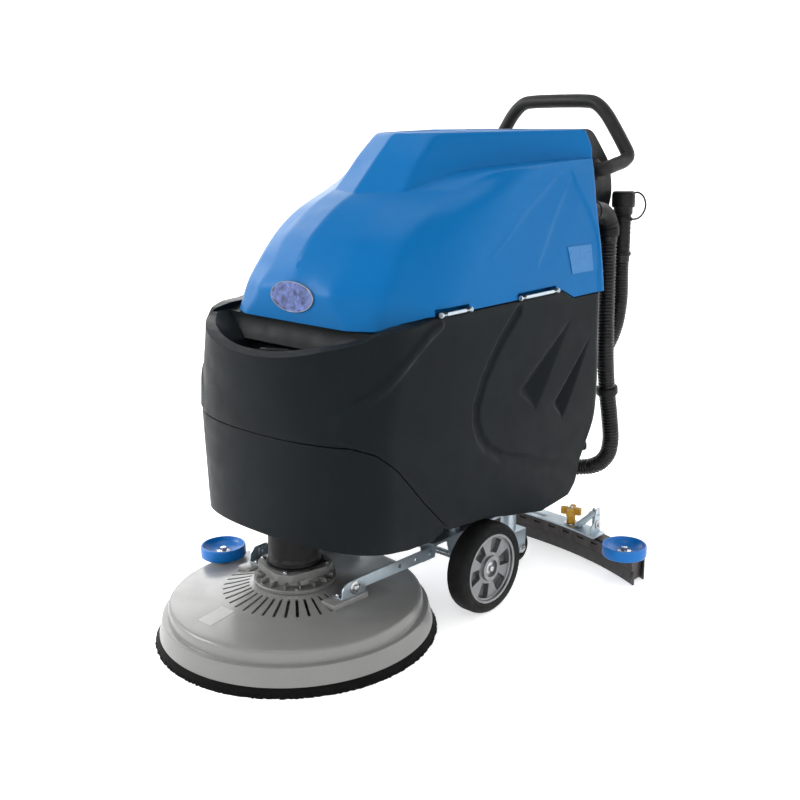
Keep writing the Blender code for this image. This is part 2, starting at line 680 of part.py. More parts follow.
def hoses():
    route = smooth_route(SQUEEGEE_ROUTE, 0.045)
    split = Vector(SQUEEGEE_ROUTE[HOSE_SPLIT])
    middle = min(range(len(route)), key=lambda i: (route[i] - split).length)
    upper, lower = route[:middle + 1], route[middle:]
    upper[-1] = upper[-1] + (upper[-2] - upper[-1]).normalized() * CLIP_GAP
    lower[0] = lower[0] + (lower[1] - lower[0]).normalized() * CLIP_GAP
    add(tube("squeegee_hose_upper", upper, HOSE_RADIUS), "machine", "black_hose")
    add(tube("squeegee_hose_lower", lower, HOSE_RADIUS), "squeegee_swing", "black_hose")
    drain = tube("drain_hose", smooth_route(DRAIN_ROUTE, 0.045), DRAIN_RADIUS)
    add(drain, "machine", "black_hose")
    sump = tube("sump_hose", smooth_route(SUMP_ROUTE, 0.03), 0.014)
    add(sump, "machine", "black_hose")
    elbow_route = [(0.201, 0.7285, 0.818), (0.201, 0.765, 0.818), (0.201, 0.795, 0.812),
                   (0.201, 0.816, 0.797), (0.201, 0.826, 0.776), (0.201, 0.826, 0.7573)]
    add(tube("vacuum_elbow", elbow_route, 0.0245), "machine", "black_plastic")
    x, y, z = SUMP_ROUTE[-1]
    plug = turned("sump_plug", [(0.0, 0.020), (0.0125, 0.020), (0.0170, 0.018), (0.0170, 0.0),
                                (0.0, 0.0)], (x, y, z - 0.0205), closed=False, steps=16)
    add(plug, "machine", "black_plastic")
    neck = turned("drain_neck", [(0.017, 0.113), (0.0225, 0.113), (0.0225, 0.098),
                                 (0.0195, 0.095), (0.0195, 0.010), (0.0225, 0.008),
                                 (0.0225, 0.0), (0.017, 0.0)],
                  (HOSE_X, 0.885, 0.7048), steps=24)
    strap = box("neck_strap", (0.1727, 0.872, 0.783), (0.1830, 0.898, 0.797))
    join(neck, strap)
    cut(neck, rod("neck_bore", 0.0170, (HOSE_X, 0.885, 0.690), 0.150))
    add(neck, "machine", "black_plastic")
    cap = turned("drain_cap", [(0.0, 0.038), (0.024, 0.038), (0.027, 0.035), (0.027, GAP),
                               (0.0, GAP)], (HOSE_X, 0.885, 0.818), closed=False, steps=24)
    add(cap, "drain_cap", "black_plastic")
    before, place, after = (Vector(SQUEEGEE_ROUTE[i]) for i in (HOSE_SPLIT - 1, HOSE_SPLIT,
                                                                HOSE_SPLIT + 1))
    clip = turned("hose_clip", [(HOSE_RADIUS + 0.002, 0.009), (0.0265, 0.009),
                                (0.0265, -0.009), (HOSE_RADIUS + 0.002, -0.009)], place, steps=20)
    clip.rotation_euler = (before - after).to_track_quat("Z", "X").to_euler()
    add(clip, "squeegee_swing", "black_plastic")


# ---------------------------------------------------------------- brush deck
def deck():
    """The domed deck cover with its vent slots, feet for the arms and roller stud."""
    outer = [
        (0.030, HUB_TOP), (0.088, HUB_TOP), (0.130, 0.099), (0.200, 0.088), (0.254, TIER_TOP),
        (TIER_RADIUS, 0.073), (0.2635, RING_SHOULDER), (0.274, 0.054), (RING_RADIUS, RING_BOTTOM),
    ]
    inner = [
        (0.279, RING_BOTTOM), (0.270, 0.049), (0.258, 0.050), (0.256, 0.073),
        (0.130, 0.094), (0.086, 0.107), (0.030, 0.107),
    ]
    cover = turned("deck_cover", [*outer, *inner], (0.0, 0.0, 0.0), steps=40)
    for side in (-1, 1):
        x = side * 0.130
        pad = box(f"deck_foot_{side}", (x - 0.020, -0.032, 0.092), (x + 0.020, 0.062, 0.1065))
        join(cover, pad)
    join(cover, rod("roller_stud", 0.005, (DECK_ROLLER[0], DECK_ROLLER[1], 0.0785), 0.030))
    cut(cover, vent_slots())
    add(cover, "deck", "grey_deck")


def vent_slots():
    """Twenty radial slots over the front half of the dome, as one cutter."""
    bm = bmesh.new()
    middle = (VENT_INNER + VENT_OUTER) / 2
    for i in range(VENT_COUNT):
        angle = math.radians(180 + 180 * (i + 0.5) / VENT_COUNT)
        made = bmesh.ops.create_cube(bm, size=1.0)["verts"]
        bmesh.ops.scale(bm, vec=(VENT_OUTER - VENT_INNER, VENT_WIDTH, 0.06), verts=made)
        bmesh.ops.translate(bm, vec=(middle, 0.0, 0.105), verts=made)
        bmesh.ops.rotate(bm, cent=(0, 0, 0), matrix=Matrix.Rotation(angle, 3, "Z"), verts=made)
    return from_bmesh("vent_slots", bm)


def bristle_skirt():
    ring = [(RING_RADIUS, RING_BOTTOM - GAP), (SKIRT_RADIUS, 0.0), (0.284, 0.0),
            (0.274, RING_BOTTOM - GAP)]
    add(turned("bristle_skirt", ring, (0.0, 0.0, 0.0), steps=44), "deck", "bristle_black")


def scrub_brush():
    """The disc brush: a block with a hub, and its ring of bristles."""
    block = [(0.0, 0.100), (0.022, 0.100), (0.026, 0.096), (0.026, 0.046), (0.235, 0.046),
             (BRUSH_RADIUS, 0.0005), (0.110, 0.0005), (0.100, 0.030), (0.0, 0.030)]
    add(turned("scrub_brush", block, (0.0, 0.0, 0.0), closed=False, steps=32), "brush", "bristle_black")


def gearbox():
    """The cast gear housing on the deck and the motor above it."""
    flange = rod("gearbox", 0.086, (0.0, 0.0, HUB_TOP + GAP), 0.008, sides=36)
    drum = rod("gear_drum", 0.063, (0.0, 0.0, HUB_TOP + 0.004), 0.026, sides=36, tip=0.060)
    half, corner = 0.065, 0.022
    outline = []
    for quarter in range(4):
        turn = Matrix.Rotation(math.radians(90 * quarter) + GEARBOX_TURN, 2)
        for spot in ((half, -half + corner), (half, half - corner)):
            outline.append(tuple(turn @ Vector(spot)))
    join(flange, drum, plate("gear_plate", outline, 0.1345, 0.1500))
    add(flange, "deck", "cast_grey")
    motor = turned("brush_motor", [(0.0, 0.112), (0.046, 0.112), (0.054, 0.104),
                                   (0.054, 0.006), (0.060, 0.004), (0.060, 0.0), (0.0, 0.0)],
                   (0.0, 0.0, 0.1503), closed=False, steps=20)
    add(motor, "deck", "motor_black")


def deck_arms():
    """On each side an angle bolted to the deck, and the arm that carries it."""
    front, rear = ARM_FRONT, ARM_REAR
    for name, side in (("left", 1), ("right", -1)):
        def across(low, high):
            return (low, high) if side > 0 else (-high, -low)
        inner, outer = across(ARM_X, ARM_X + ARM_PLATE)
        outline = [(front[0] - 0.012, front[1] - 0.006), (front[0] - 0.012, front[1] + 0.006),
                   (front[0] - 0.004, front[1] + 0.012), (rear[0] + 0.006, rear[1] + 0.016),
                   (rear[0] + 0.012, rear[1] + 0.008), (rear[0] + 0.012, rear[1] - 0.006),
                   (rear[0] + 0.006, rear[1] - 0.011), (front[0] - 0.004, front[1] - 0.009)]
        arm = side_plate("deck_arm_" + name, outline, inner, outer)
        for spot, place in (("front", front), ("rear", rear)):
            hole = rod(f"arm_{spot}_hole_{name}", 0.0062, (inner - 0.01, *place), 0.03, ACROSS)
            cut(arm, hole)
        add(arm, "deck_lift", "zinc_steel")
        low, high = across(ARM_X + ARM_PLATE + GAP, ARM_X + 2 * ARM_PLATE + GAP)
        web = [(-0.006, 0.1068), (-0.002, 0.128), (0.010, 0.139), (0.040, 0.140),
               (0.060, 0.130), (0.060, 0.1068)]
        bracket = side_plate("deck_bracket_" + name, web, low, high)
        foot_low, foot_high = across(0.114, ARM_X + 2 * ARM_PLATE)
        join(bracket, box("bracket_strip_" + name, (foot_low, -0.006, 0.1068),
                          (foot_high, 0.014, 0.1098)))
        foot_low, foot_high = across(0.114, ARM_X - 0.0015)
        join(bracket, box("bracket_foot_" + name, (foot_low, 0.010, 0.1068),
                          (foot_high, 0.060, 0.1098)))
        pin_low, pin_high = across(ARM_X - 0.004, ARM_X + 2 * ARM_PLATE + 0.006)
        join(bracket, rod("bracket_pin_" + name, 0.0055, (pin_low, *front),
                          pin_high - pin_low, ACROSS))
        add(bracket, "deck", "zinc_steel")


def bumper_roller(name, place):
    """A dished roller that turns on a stud."""
    profile = [(0.0056, 0.010), (0.018, 0.010), (0.040, 0.020), (0.044, ROLLER_HEIGHT),
               (ROLLER_RADIUS, ROLLER_HEIGHT), (ROLLER_RADIUS, 0.003),
               (ROLLER_RADIUS - 0.003, 0.0), (0.0056, 0.0)]
    add(turned(name, profile, place, steps=20), name_body(name), "roller_blue")


def name_body(name):
    return {"deck_bumper": "deck_roller", "bumper_left": "roller_left",
            "bumper_right": "roller_right"}[name]


# ---------------------------------------------------------------- chassis and wheels
def chassis():
    """The steel frame under the tank: floor plate, axle hangers and arm cheeks."""
    frame = box("chassis_frame", (-0.170, 0.240, 0.152), (0.170, 0.600, 0.158))
    for side in (-1, 1):
        low, high = sorted((side * 0.128, side * 0.134))
        cheek = side_plate(f"cheek_{side}", [(0.244, 0.104), (0.284, 0.104), (0.300, 0.155),
                                             (0.244, 0.155)], low, high)
        low_pin, high_pin = sorted((side * 0.130, side * (ARM_X + 0.008)))
        pin = rod(f"cheek_pin_{side}", 0.0055, (low_pin, *ARM_REAR), high_pin - low_pin,
                  ACROSS)
        low, high = sorted((side * 0.160, side * 0.166))
        hanger = side_plate(f"hanger_{side}", [(0.290, 0.155), (0.308, 0.086),
                                               (0.342, 0.086), (0.370, 0.155)], low, high)
        join(frame, cheek, pin, hanger)
        for y in (0.330, 0.560):
            join(frame, rod(f"tank_post_{side}_{y:.2f}", 0.012, (side * 0.150, y, 0.155),
                            0.0125 if y > 0.5 else 0.050))
    cut(frame, rod("axle_bore", AXLE_RADIUS + 0.0006, (-0.2, AXLE_Y, WHEEL_RADIUS), 0.4, ACROSS))
    for side in (-1, 1):
        cut(frame, rod(f"caster_bore_{side}", 0.0085, (side * CASTER_X, CASTER_Y, 0.140), 0.040))
    cut(frame, rod("swivel_bore", 0.0085, (*SWIVEL, 0.140), 0.040))
    add(frame, "machine", "zinc_steel")
    axle = rod("axle", AXLE_RADIUS, (-0.2555, AXLE_Y, WHEEL_RADIUS), 0.511, ACROSS)
    add(axle, "machine", "zinc_steel")


def wheels():
    """Each main wheel is an aluminium rim with a rubber tyre."""
    half = WHEEL_WIDTH / 2
    rim = [(AXLE_RADIUS + 0.0006, half - 0.004), (0.027, half - 0.004), (0.027, half - 0.014),
           (0.070, half - 0.010), (0.071, half - 0.002), (RIM_RADIUS, half - 0.002),
           (RIM_RADIUS, 0.002 - half), (0.070, 0.002 - half), (0.027, 0.016 - half),
           (0.027, 0.004 - half), (AXLE_RADIUS + 0.0006, 0.004 - half)]
    tyre = [(RIM_RADIUS + GAP, half), (0.091, half), (0.098, half - 0.006),
            (WHEEL_RADIUS, half - 0.013), (WHEEL_RADIUS, 0.013 - half), (0.098, 0.006 - half),
            (0.091, -half), (RIM_RADIUS + GAP, -half)]
    for name, side in (("left", 1), ("right", -1)):
        place = (side * (WHEEL_FACE - half), AXLE_Y, WHEEL_RADIUS)
        body = "wheel_" + name
        add(turned("rim_" + name, rim, place, ACROSS, steps=24), body, "aluminium_rim")
        add(turned("tyre_" + name, tyre, place, ACROSS, steps=24), body, "tyre_rubber")


def casters():
    """Two swivel casters: a bent fork with its stem, and a small wheel on a pin."""
    for name, side in (("left", 1), ("right", -1)):
        x = side * CASTER_X
        wheel_y = CASTER_Y + CASTER_TRAIL
        fork = box("caster_fork_" + name, (x - 0.021, CASTER_Y - 0.020, 0.0815),
                   (x + 0.021, wheel_y + 0.014, 0.0855))
        cheek = [(CASTER_Y - 0.020, 0.0850), (CASTER_Y - 0.020, 0.074),
                 (wheel_y - 0.010, 0.028), (wheel_y + 0.010, 0.028),
                 (wheel_y + 0.014, 0.0850)]
        for low in (x - 0.021, x + 0.018):
            join(fork, side_plate(f"fork_cheek_{low:.3f}", cheek, low, low + 0.003))
        join(fork, rod("caster_stem_" + name, 0.0078, (x, CASTER_Y, 0.084), 0.072),
             rod("caster_collar_" + name, 0.018, (x, CASTER_Y, 0.085), 0.0665, sides=20),
             rod("caster_pin_" + name, 0.0040, (x - 0.019, wheel_y, CASTER_RADIUS), 0.038,
                 ACROSS, sides=12))
        add(fork, "caster_" + name, "zinc_steel")
        tread = [(0.0045, 0.0125), (0.030, 0.0125), (CASTER_RADIUS - 0.001, 0.011),
                 (CASTER_RADIUS, 0.008), (CASTER_RADIUS, -0.008),
                 (CASTER_RADIUS - 0.001, -0.011), (0.030, -0.0125), (0.0045, -0.0125)]
        add(turned("caster_wheel_" + name, tread, (x, wheel_y, CASTER_RADIUS), ACROSS, steps=20),
            "caster_wheel_" + name, "tyre_rubber")


# ---------------------------------------------------------------- squeegee
def blade_line(x):
    """The curve of the squeegee's front lip: flat in the middle, swept forward at the ends."""
    return BLADE_CENTRE - BLADE_SWEEP * abs(x) ** BLADE_POWER


def crescent(name, half_width, front, rear, low, high, count=17):
    """A band that follows the lip, between two distances behind it."""
    spots = [half_width * (2 * i / (count - 1) - 1) for i in range(count)]
    outline = [(x, blade_line(x) + front) for x in spots]
    outline += [(x, blade_line(x) + rear) for x in reversed(spots)]
    return plate(name, outline, low, high)


def squeegee():
    """The casting with its two blades, carried by the swinging arm."""
    casting = crescent("squeegee_casting", 0.405, 0.0056, CASTING_DEPTH, 0.024, CASTING_TOP)
    for side in (-1, 1):
        x, y, z = SQUEEGEE_ROLLER
        join(casting, box(f"roller_ear_{side}", (side * x - 0.015, y - 0.012, 0.0526),
                          (side * x + 0.015, y + 0.030, z - 0.0004)),
             rod(f"roller_bolt_{side}", 0.005, (side * x, y, 0.055), 0.036),
             rod(f"knob_bolt_{side}", 0.0045, (side * KNOB[0], KNOB[1], 0.055), 0.058, sides=12))
    cut(casting, rod("inlet_bore", 0.018, (0.0, 0.742, 0.010), 0.080))
    add(casting, "squeegee", "cast_grey")
    add(crescent("front_blade", SQUEEGEE_HALF, 0.0, 0.0042, 0.0, 0.052), "squeegee",
        "blade_rubber")
    add(crescent("rear_blade", SQUEEGEE_HALF, CASTING_DEPTH + 0.0012, CASTING_DEPTH + 0.0054, 0.0,
                 0.052), "squeegee", "blade_rubber")
    inlet_route = [(0.0, 0.742, CASTING_TOP + GAP), (0.0, 0.742, 0.090), (0.005, 0.748, 0.122),
                   (0.018, 0.765, 0.148), (0.037, 0.789, 0.160), (0.060, 0.812, 0.160)]
    add(tube("squeegee_inlet", inlet_route, 0.0225), "squeegee", "black_plastic")


def squeegee_arm():
    """A swivel block under the frame, and the lifting bracket that holds the casting."""
    y, z = LIFT_PIVOT
    block = box("squeegee_swivel", (-0.024, SWIVEL[1] - 0.020, 0.112), (0.024, y + 0.012, 0.1515))
    join(block, rod("swivel_stem", 0.0078, (*SWIVEL, 0.145), 0.0150),
         rod("swivel_pin", 0.0055, (-0.034, y, z), 0.068, ACROSS))
    add(block, "squeegee_swing", "zinc_steel")
    bar_low = CASTING_TOP + 0.0035
    bracket = crescent("squeegee_bracket", 0.285, -0.012, 0.036, bar_low, bar_low + 0.004, 13)
    web = [(y - 0.012, z - 0.010), (y - 0.012, z + 0.012), (y + 0.012, z + 0.012),
           (0.640, 0.118), (0.728, 0.094), (0.728, bar_low + 0.001), (0.700, bar_low + 0.001),
           (0.640, 0.092)]
    cut(bracket, rod("inlet_clearance", 0.027, (0.0, 0.742, 0.040), 0.050))
    for side in (-1, 1):
        low, high = sorted((side * 0.0280, side * 0.0310))
        cheek = side_plate(f"bracket_web_{side}", web, low, high)
        join(bracket, cheek)
        cut(bracket, rod(f"lift_bore_{side}", 0.0061, (low - 0.01, y, z), 0.023, ACROSS,
                         sides=16))
        cut(bracket, rod(f"knob_slot_{side}", 0.0053, (side * KNOB[0], KNOB[1], 0.050), 0.030,
                         sides=16))
        ear = [(0.686, bar_low), (0.686, 0.086), (0.700, 0.098), (0.706, 0.128),
               (0.722, 0.128), (0.724, 0.098), (0.724, bar_low)]
        low, high = sorted((side * 0.268, side * 0.271))
        join(bracket, side_plate(f"adjuster_ear_{side}", ear, low, high))
    add(bracket, "squeegee", "zinc_steel")


def squeegee_knobs():
    """Four-lobed hand nuts that clamp the casting to its bracket."""
    low = CASTING_TOP + 0.0035 + 0.004 + GAP
    for name, side in (("knob_left", 1), ("knob_right", -1)):
        x, y = side * KNOB[0], KNOB[1]
        washer = rod("squeegee_" + name, 0.017, (x, y, low), 0.002, sides=24)
        lobes = [rod(name + "_neck", 0.011, (x, y, low + 0.001), 0.024)]
        for quarter in range(2):
            turn = Matrix.Rotation(math.radians(90 * quarter + 20), 4, "Z")
            arm = box(f"{name}_lobe_{quarter}", (x - 0.025, y - 0.007, low + 0.022),
                      (x + 0.025, y + 0.007, low + 0.040), turn=turn)
            lobes.append(arm)
        join(washer, *lobes)
        cut(washer, rod(name + "_thread", 0.0051, (x, y, 0.060), 0.0540))
        add(washer, name, "knob_yellow")


def lever_mount(name):
    """The cheek and pin on the console's back that carry a lever."""
    x, y, z = PIVOTS[name]
    web = [(0.784, z - 0.030), (y, z - 0.010), (y + 0.010, z), (y, z + 0.010),
           (0.786, z + 0.030)]
    return (side_plate(name + "_web", web, x - 0.014, x - 0.009),
            rod(name + "_pin", 0.005, (x - 0.012, y, z), 0.024, ACROSS))


def levers():
    """Two hand levers on the console's back: one lifts the squeegee, one the deck."""
    for name in ("squeegee_lever", "deck_lever"):
        x, y, z = PIVOTS[name]
        outline = [(y - 0.010, z - 0.010), (y + 0.010, z - 0.010), (y + 0.040, z - 0.120),
                   (y + 0.054, z - 0.160), (y + 0.040, z - 0.166), (y + 0.020, z - 0.124),
                   (y - 0.010, z + 0.012)]
        lever = side_plate(name, outline, x - 0.0085, x - 0.0035)
        cut(lever, rod(name + "_bore", 0.0056, (x - 0.02, y, z), 0.04, ACROSS))
        join(lever, rod(name + "_grip", 0.010, (x - 0.035, y + 0.046, z - 0.160), 0.058, ACROSS))
        add(lever, name, "black_plastic")


clear_scene()
parts = new_collection("floor_scrubber")
cutters = new_collection("cutters")
make_bodies()
solution_tank()
front_shell()
batteries()
fill_cap()
hood()
hood_hinges()
console()
controls()
handle()
hoses()
deck()
bristle_skirt()
scrub_brush()
gearbox()
deck_arms()
bumper_roller("deck_bumper", DECK_ROLLER)
bumper_roller("bumper_left", SQUEEGEE_ROLLER)
bumper_roller("bumper_right", (-SQUEEGEE_ROLLER[0], *SQUEEGEE_ROLLER[1:]))
chassis()
wheels()
casters()
squeegee()
squeegee_arm()
squeegee_knobs()
levers()
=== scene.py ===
"""The looks of the walk-behind floor scrubber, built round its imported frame.

Metres, +Z up. Sizes are given from the brush deck's centre on the floor (front -Y, left +X), as
in the CAD source, and Shape.make() moves each piece back by CENTRE_Y into the row frame.
"""

import json
import math
import random

import bmesh
import bpy
import numpy as np
from mathutils import Matrix, Vector
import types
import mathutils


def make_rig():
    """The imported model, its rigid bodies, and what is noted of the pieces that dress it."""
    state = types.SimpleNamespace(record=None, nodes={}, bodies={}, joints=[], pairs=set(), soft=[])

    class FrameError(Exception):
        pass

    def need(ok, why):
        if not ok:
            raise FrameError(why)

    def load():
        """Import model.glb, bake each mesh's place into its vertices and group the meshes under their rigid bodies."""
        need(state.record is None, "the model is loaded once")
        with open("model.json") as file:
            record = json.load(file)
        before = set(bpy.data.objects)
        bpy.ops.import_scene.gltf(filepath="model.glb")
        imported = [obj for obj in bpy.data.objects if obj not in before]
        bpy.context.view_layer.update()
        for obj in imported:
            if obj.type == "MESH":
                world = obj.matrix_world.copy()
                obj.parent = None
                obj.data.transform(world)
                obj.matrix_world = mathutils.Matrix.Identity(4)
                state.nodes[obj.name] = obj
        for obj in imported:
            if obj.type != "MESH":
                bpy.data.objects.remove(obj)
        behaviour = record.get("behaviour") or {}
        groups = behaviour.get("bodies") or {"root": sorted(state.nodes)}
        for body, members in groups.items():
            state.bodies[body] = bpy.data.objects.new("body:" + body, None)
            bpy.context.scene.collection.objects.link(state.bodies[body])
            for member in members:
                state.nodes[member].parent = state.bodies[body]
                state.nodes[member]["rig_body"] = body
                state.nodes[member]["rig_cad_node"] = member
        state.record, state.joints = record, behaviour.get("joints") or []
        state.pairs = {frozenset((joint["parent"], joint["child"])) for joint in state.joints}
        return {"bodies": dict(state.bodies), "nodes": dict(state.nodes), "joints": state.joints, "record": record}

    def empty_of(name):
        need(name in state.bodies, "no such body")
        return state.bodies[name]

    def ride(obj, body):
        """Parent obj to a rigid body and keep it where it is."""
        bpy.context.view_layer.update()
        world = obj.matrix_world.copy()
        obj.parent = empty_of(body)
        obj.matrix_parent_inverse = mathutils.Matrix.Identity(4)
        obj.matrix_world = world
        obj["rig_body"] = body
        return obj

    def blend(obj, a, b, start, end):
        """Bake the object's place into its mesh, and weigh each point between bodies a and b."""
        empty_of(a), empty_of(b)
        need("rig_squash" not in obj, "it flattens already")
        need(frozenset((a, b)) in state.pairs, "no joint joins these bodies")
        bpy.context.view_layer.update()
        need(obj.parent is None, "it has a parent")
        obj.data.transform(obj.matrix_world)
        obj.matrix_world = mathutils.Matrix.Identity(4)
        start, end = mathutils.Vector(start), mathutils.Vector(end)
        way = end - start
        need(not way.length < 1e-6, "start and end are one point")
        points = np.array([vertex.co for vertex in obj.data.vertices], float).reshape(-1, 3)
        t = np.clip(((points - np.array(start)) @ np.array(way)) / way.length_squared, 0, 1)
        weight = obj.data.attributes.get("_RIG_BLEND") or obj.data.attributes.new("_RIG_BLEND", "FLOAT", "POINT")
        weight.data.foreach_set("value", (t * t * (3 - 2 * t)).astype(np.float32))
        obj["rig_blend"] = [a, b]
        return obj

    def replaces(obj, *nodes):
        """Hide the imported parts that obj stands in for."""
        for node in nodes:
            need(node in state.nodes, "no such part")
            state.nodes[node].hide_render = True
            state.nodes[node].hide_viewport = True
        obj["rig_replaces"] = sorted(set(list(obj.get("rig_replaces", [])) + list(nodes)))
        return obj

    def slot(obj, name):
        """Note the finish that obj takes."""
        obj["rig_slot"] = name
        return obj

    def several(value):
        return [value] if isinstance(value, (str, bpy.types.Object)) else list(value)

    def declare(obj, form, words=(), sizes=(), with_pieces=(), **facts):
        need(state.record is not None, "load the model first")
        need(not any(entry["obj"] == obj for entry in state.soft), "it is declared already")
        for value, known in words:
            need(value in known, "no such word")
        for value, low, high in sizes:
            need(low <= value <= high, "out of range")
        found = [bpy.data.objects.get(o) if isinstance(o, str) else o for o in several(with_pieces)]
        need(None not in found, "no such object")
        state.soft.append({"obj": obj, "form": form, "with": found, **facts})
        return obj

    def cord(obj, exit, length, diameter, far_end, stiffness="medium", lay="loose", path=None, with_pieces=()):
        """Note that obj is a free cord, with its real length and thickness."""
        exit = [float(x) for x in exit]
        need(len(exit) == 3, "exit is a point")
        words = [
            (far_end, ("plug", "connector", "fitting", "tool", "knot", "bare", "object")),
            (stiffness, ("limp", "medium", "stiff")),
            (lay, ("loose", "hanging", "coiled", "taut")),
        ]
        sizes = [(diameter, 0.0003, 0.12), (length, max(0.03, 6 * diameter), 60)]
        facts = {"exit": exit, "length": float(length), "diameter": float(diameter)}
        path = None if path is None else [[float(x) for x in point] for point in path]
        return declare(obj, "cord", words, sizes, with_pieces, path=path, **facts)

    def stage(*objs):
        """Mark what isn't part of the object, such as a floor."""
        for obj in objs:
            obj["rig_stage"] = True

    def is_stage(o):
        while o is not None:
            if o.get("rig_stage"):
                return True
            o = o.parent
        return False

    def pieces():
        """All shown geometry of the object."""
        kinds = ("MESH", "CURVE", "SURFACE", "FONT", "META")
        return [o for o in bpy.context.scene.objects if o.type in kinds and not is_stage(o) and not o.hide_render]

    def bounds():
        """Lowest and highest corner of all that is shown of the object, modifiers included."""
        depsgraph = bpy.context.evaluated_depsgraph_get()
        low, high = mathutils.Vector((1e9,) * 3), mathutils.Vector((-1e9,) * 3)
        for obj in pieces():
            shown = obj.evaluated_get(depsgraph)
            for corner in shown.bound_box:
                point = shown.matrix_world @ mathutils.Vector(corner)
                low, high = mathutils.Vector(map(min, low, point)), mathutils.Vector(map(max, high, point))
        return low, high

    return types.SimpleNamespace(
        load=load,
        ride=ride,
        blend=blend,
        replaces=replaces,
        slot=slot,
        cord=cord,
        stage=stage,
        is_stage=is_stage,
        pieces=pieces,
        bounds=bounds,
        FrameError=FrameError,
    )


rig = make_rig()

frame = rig.load()
cad_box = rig.bounds()
CENTRE_Y = 0.31125
random.seed(7)


# ---------------------------------------------------------------- materials
class Look:
    """A node material: base colour with mottling, roughness variation, grain and worn edges."""

    def __init__(self, name, colour, rough, metallic=0.0, coat=0.0, specular=0.4):
        self.material = bpy.data.materials.new(name)
        self.material.use_nodes = True
        self.tree = self.material.node_tree
        self.shader = self.tree.nodes["Principled BSDF"]
        self.shader.inputs["Metallic"].default_value = metallic
        self.shader.inputs["Coat Weight"].default_value = coat
        self.shader.inputs["Coat Roughness"].default_value = 0.12
        self.shader.inputs["Specular IOR Level"].default_value = specular
        self.place = self.new("ShaderNodeTexCoord").outputs["Object"]
        self.material.diffuse_color = (*colour, 1.0)
        self.colour = self.new("ShaderNodeRGB").outputs[0]
        self.colour.default_value = (*colour, 1.0)
        self.rough = rough
        self.height = None

    def new(self, kind):
        return self.tree.nodes.new(kind)

    def link(self, a, b):
        self.tree.links.new(a, b)

    def noise(self, scale, detail=4.0, stretch=(1.0, 1.0, 1.0)):
        mapping = self.new("ShaderNodeMapping")
        mapping.inputs["Scale"].default_value = stretch
        self.link(self.place, mapping.inputs["Vector"])
        made = self.new("ShaderNodeTexNoise")
        made.inputs["Scale"].default_value = scale
        made.inputs["Detail"].default_value = detail
        self.link(mapping.outputs["Vector"], made.inputs["Vector"])
        return made.outputs["Fac"]

    def ranged(self, value, low, high, start=0.3, end=0.7):
        made = self.new("ShaderNodeMapRange")
        for key, number in (("From Min", start), ("From Max", end), ("To Min", low), ("To Max", high)):
            made.inputs[key].default_value = number
        self.link(value, made.inputs["Value"])
        return made.outputs["Result"]

    def math(self, operation, a, b):
        made = self.new("ShaderNodeMath")
        made.operation = operation
        for value, socket in ((a, made.inputs[0]), (b, made.inputs[1])):
            if isinstance(value, float):
                socket.default_value = value
            else:
                self.link(value, socket)
        return made.outputs[0]

    def mottle(self, scale, amount):
        """Lighter and darker patches."""
        made = self.new("ShaderNodeHueSaturation")
        self.link(self.ranged(self.noise(scale, 5.0), 1.0 - amount, 1.0 + amount),
                  made.inputs["Value"])
        self.link(self.colour, made.inputs["Color"])
        self.colour = made.outputs["Color"]
        return self

    def mixed(self, factor, colour):
        made = self.new("ShaderNodeMix")
        made.data_type = "RGBA"
        self.link(factor, made.inputs["Factor"])
        self.link(self.colour, made.inputs["A"])
        made.inputs["B"].default_value = (*colour, 1.0)
        self.colour = made.outputs["Result"]
        return self

    def worn(self, colour, amount=0.6, start=0.53, end=0.62):
        """Edges rubbed to another colour, in patches."""
        edge = self.ranged(self.new("ShaderNodeNewGeometry").outputs["Pointiness"], 0.0, amount,
                           start, end)
        patch = self.ranged(self.noise(45.0), 0.0, 1.0, 0.4, 0.6)
        return self.mixed(self.math("MULTIPLY", edge, patch), colour)

    def dusty(self, colour, amount, top=0.35, low=0.0):
        """Dust that gathers towards the floor."""
        split = self.new("ShaderNodeSeparateXYZ")
        self.link(self.place, split.inputs[0])
        fade = self.ranged(split.outputs["Z"], amount, 0.0, low, top)
        return self.mixed(self.math("MULTIPLY", fade, self.ranged(self.noise(22.0), 0.2, 1.0)),
                          colour)

    def bump(self, height, strength, distance=0.0004):
        made = self.new("ShaderNodeBump")
        made.inputs["Strength"].default_value = strength
        made.inputs["Distance"].default_value = distance
        self.link(height, made.inputs["Height"])
        if self.height is not None:
            self.link(self.height, made.inputs["Normal"])
        self.height = made.outputs["Normal"]
        return self

    def done(self, spread, scale):
        """Join everything to the shader, the roughness varying by spread."""
        value = self.ranged(self.noise(scale, 5.0), self.rough - spread, self.rough + spread)
        self.link(value, self.shader.inputs["Roughness"])
        self.link(self.colour, self.shader.inputs["Base Color"])
        if self.height is not None:
            self.link(self.height, self.shader.inputs["Normal"])
            self.link(self.height, self.shader.inputs["Coat Normal"])
        return self.material


def look_of(name, colour, rough, spread, scale, mottles, grain, worn=None, dusty=None, **shader):
    """A finished material: grain lists (noise arguments, bump arguments)."""
    look = Look(name, colour, rough, **shader)
    for size, amount in mottles:
        look.mottle(size, amount)
    if worn:
        look.worn(*worn)
    if dusty:
        look.dusty(*dusty)
    for noise, bump in grain:
        look.bump(look.noise(*noise), *bump)
    return look.done(spread, scale)


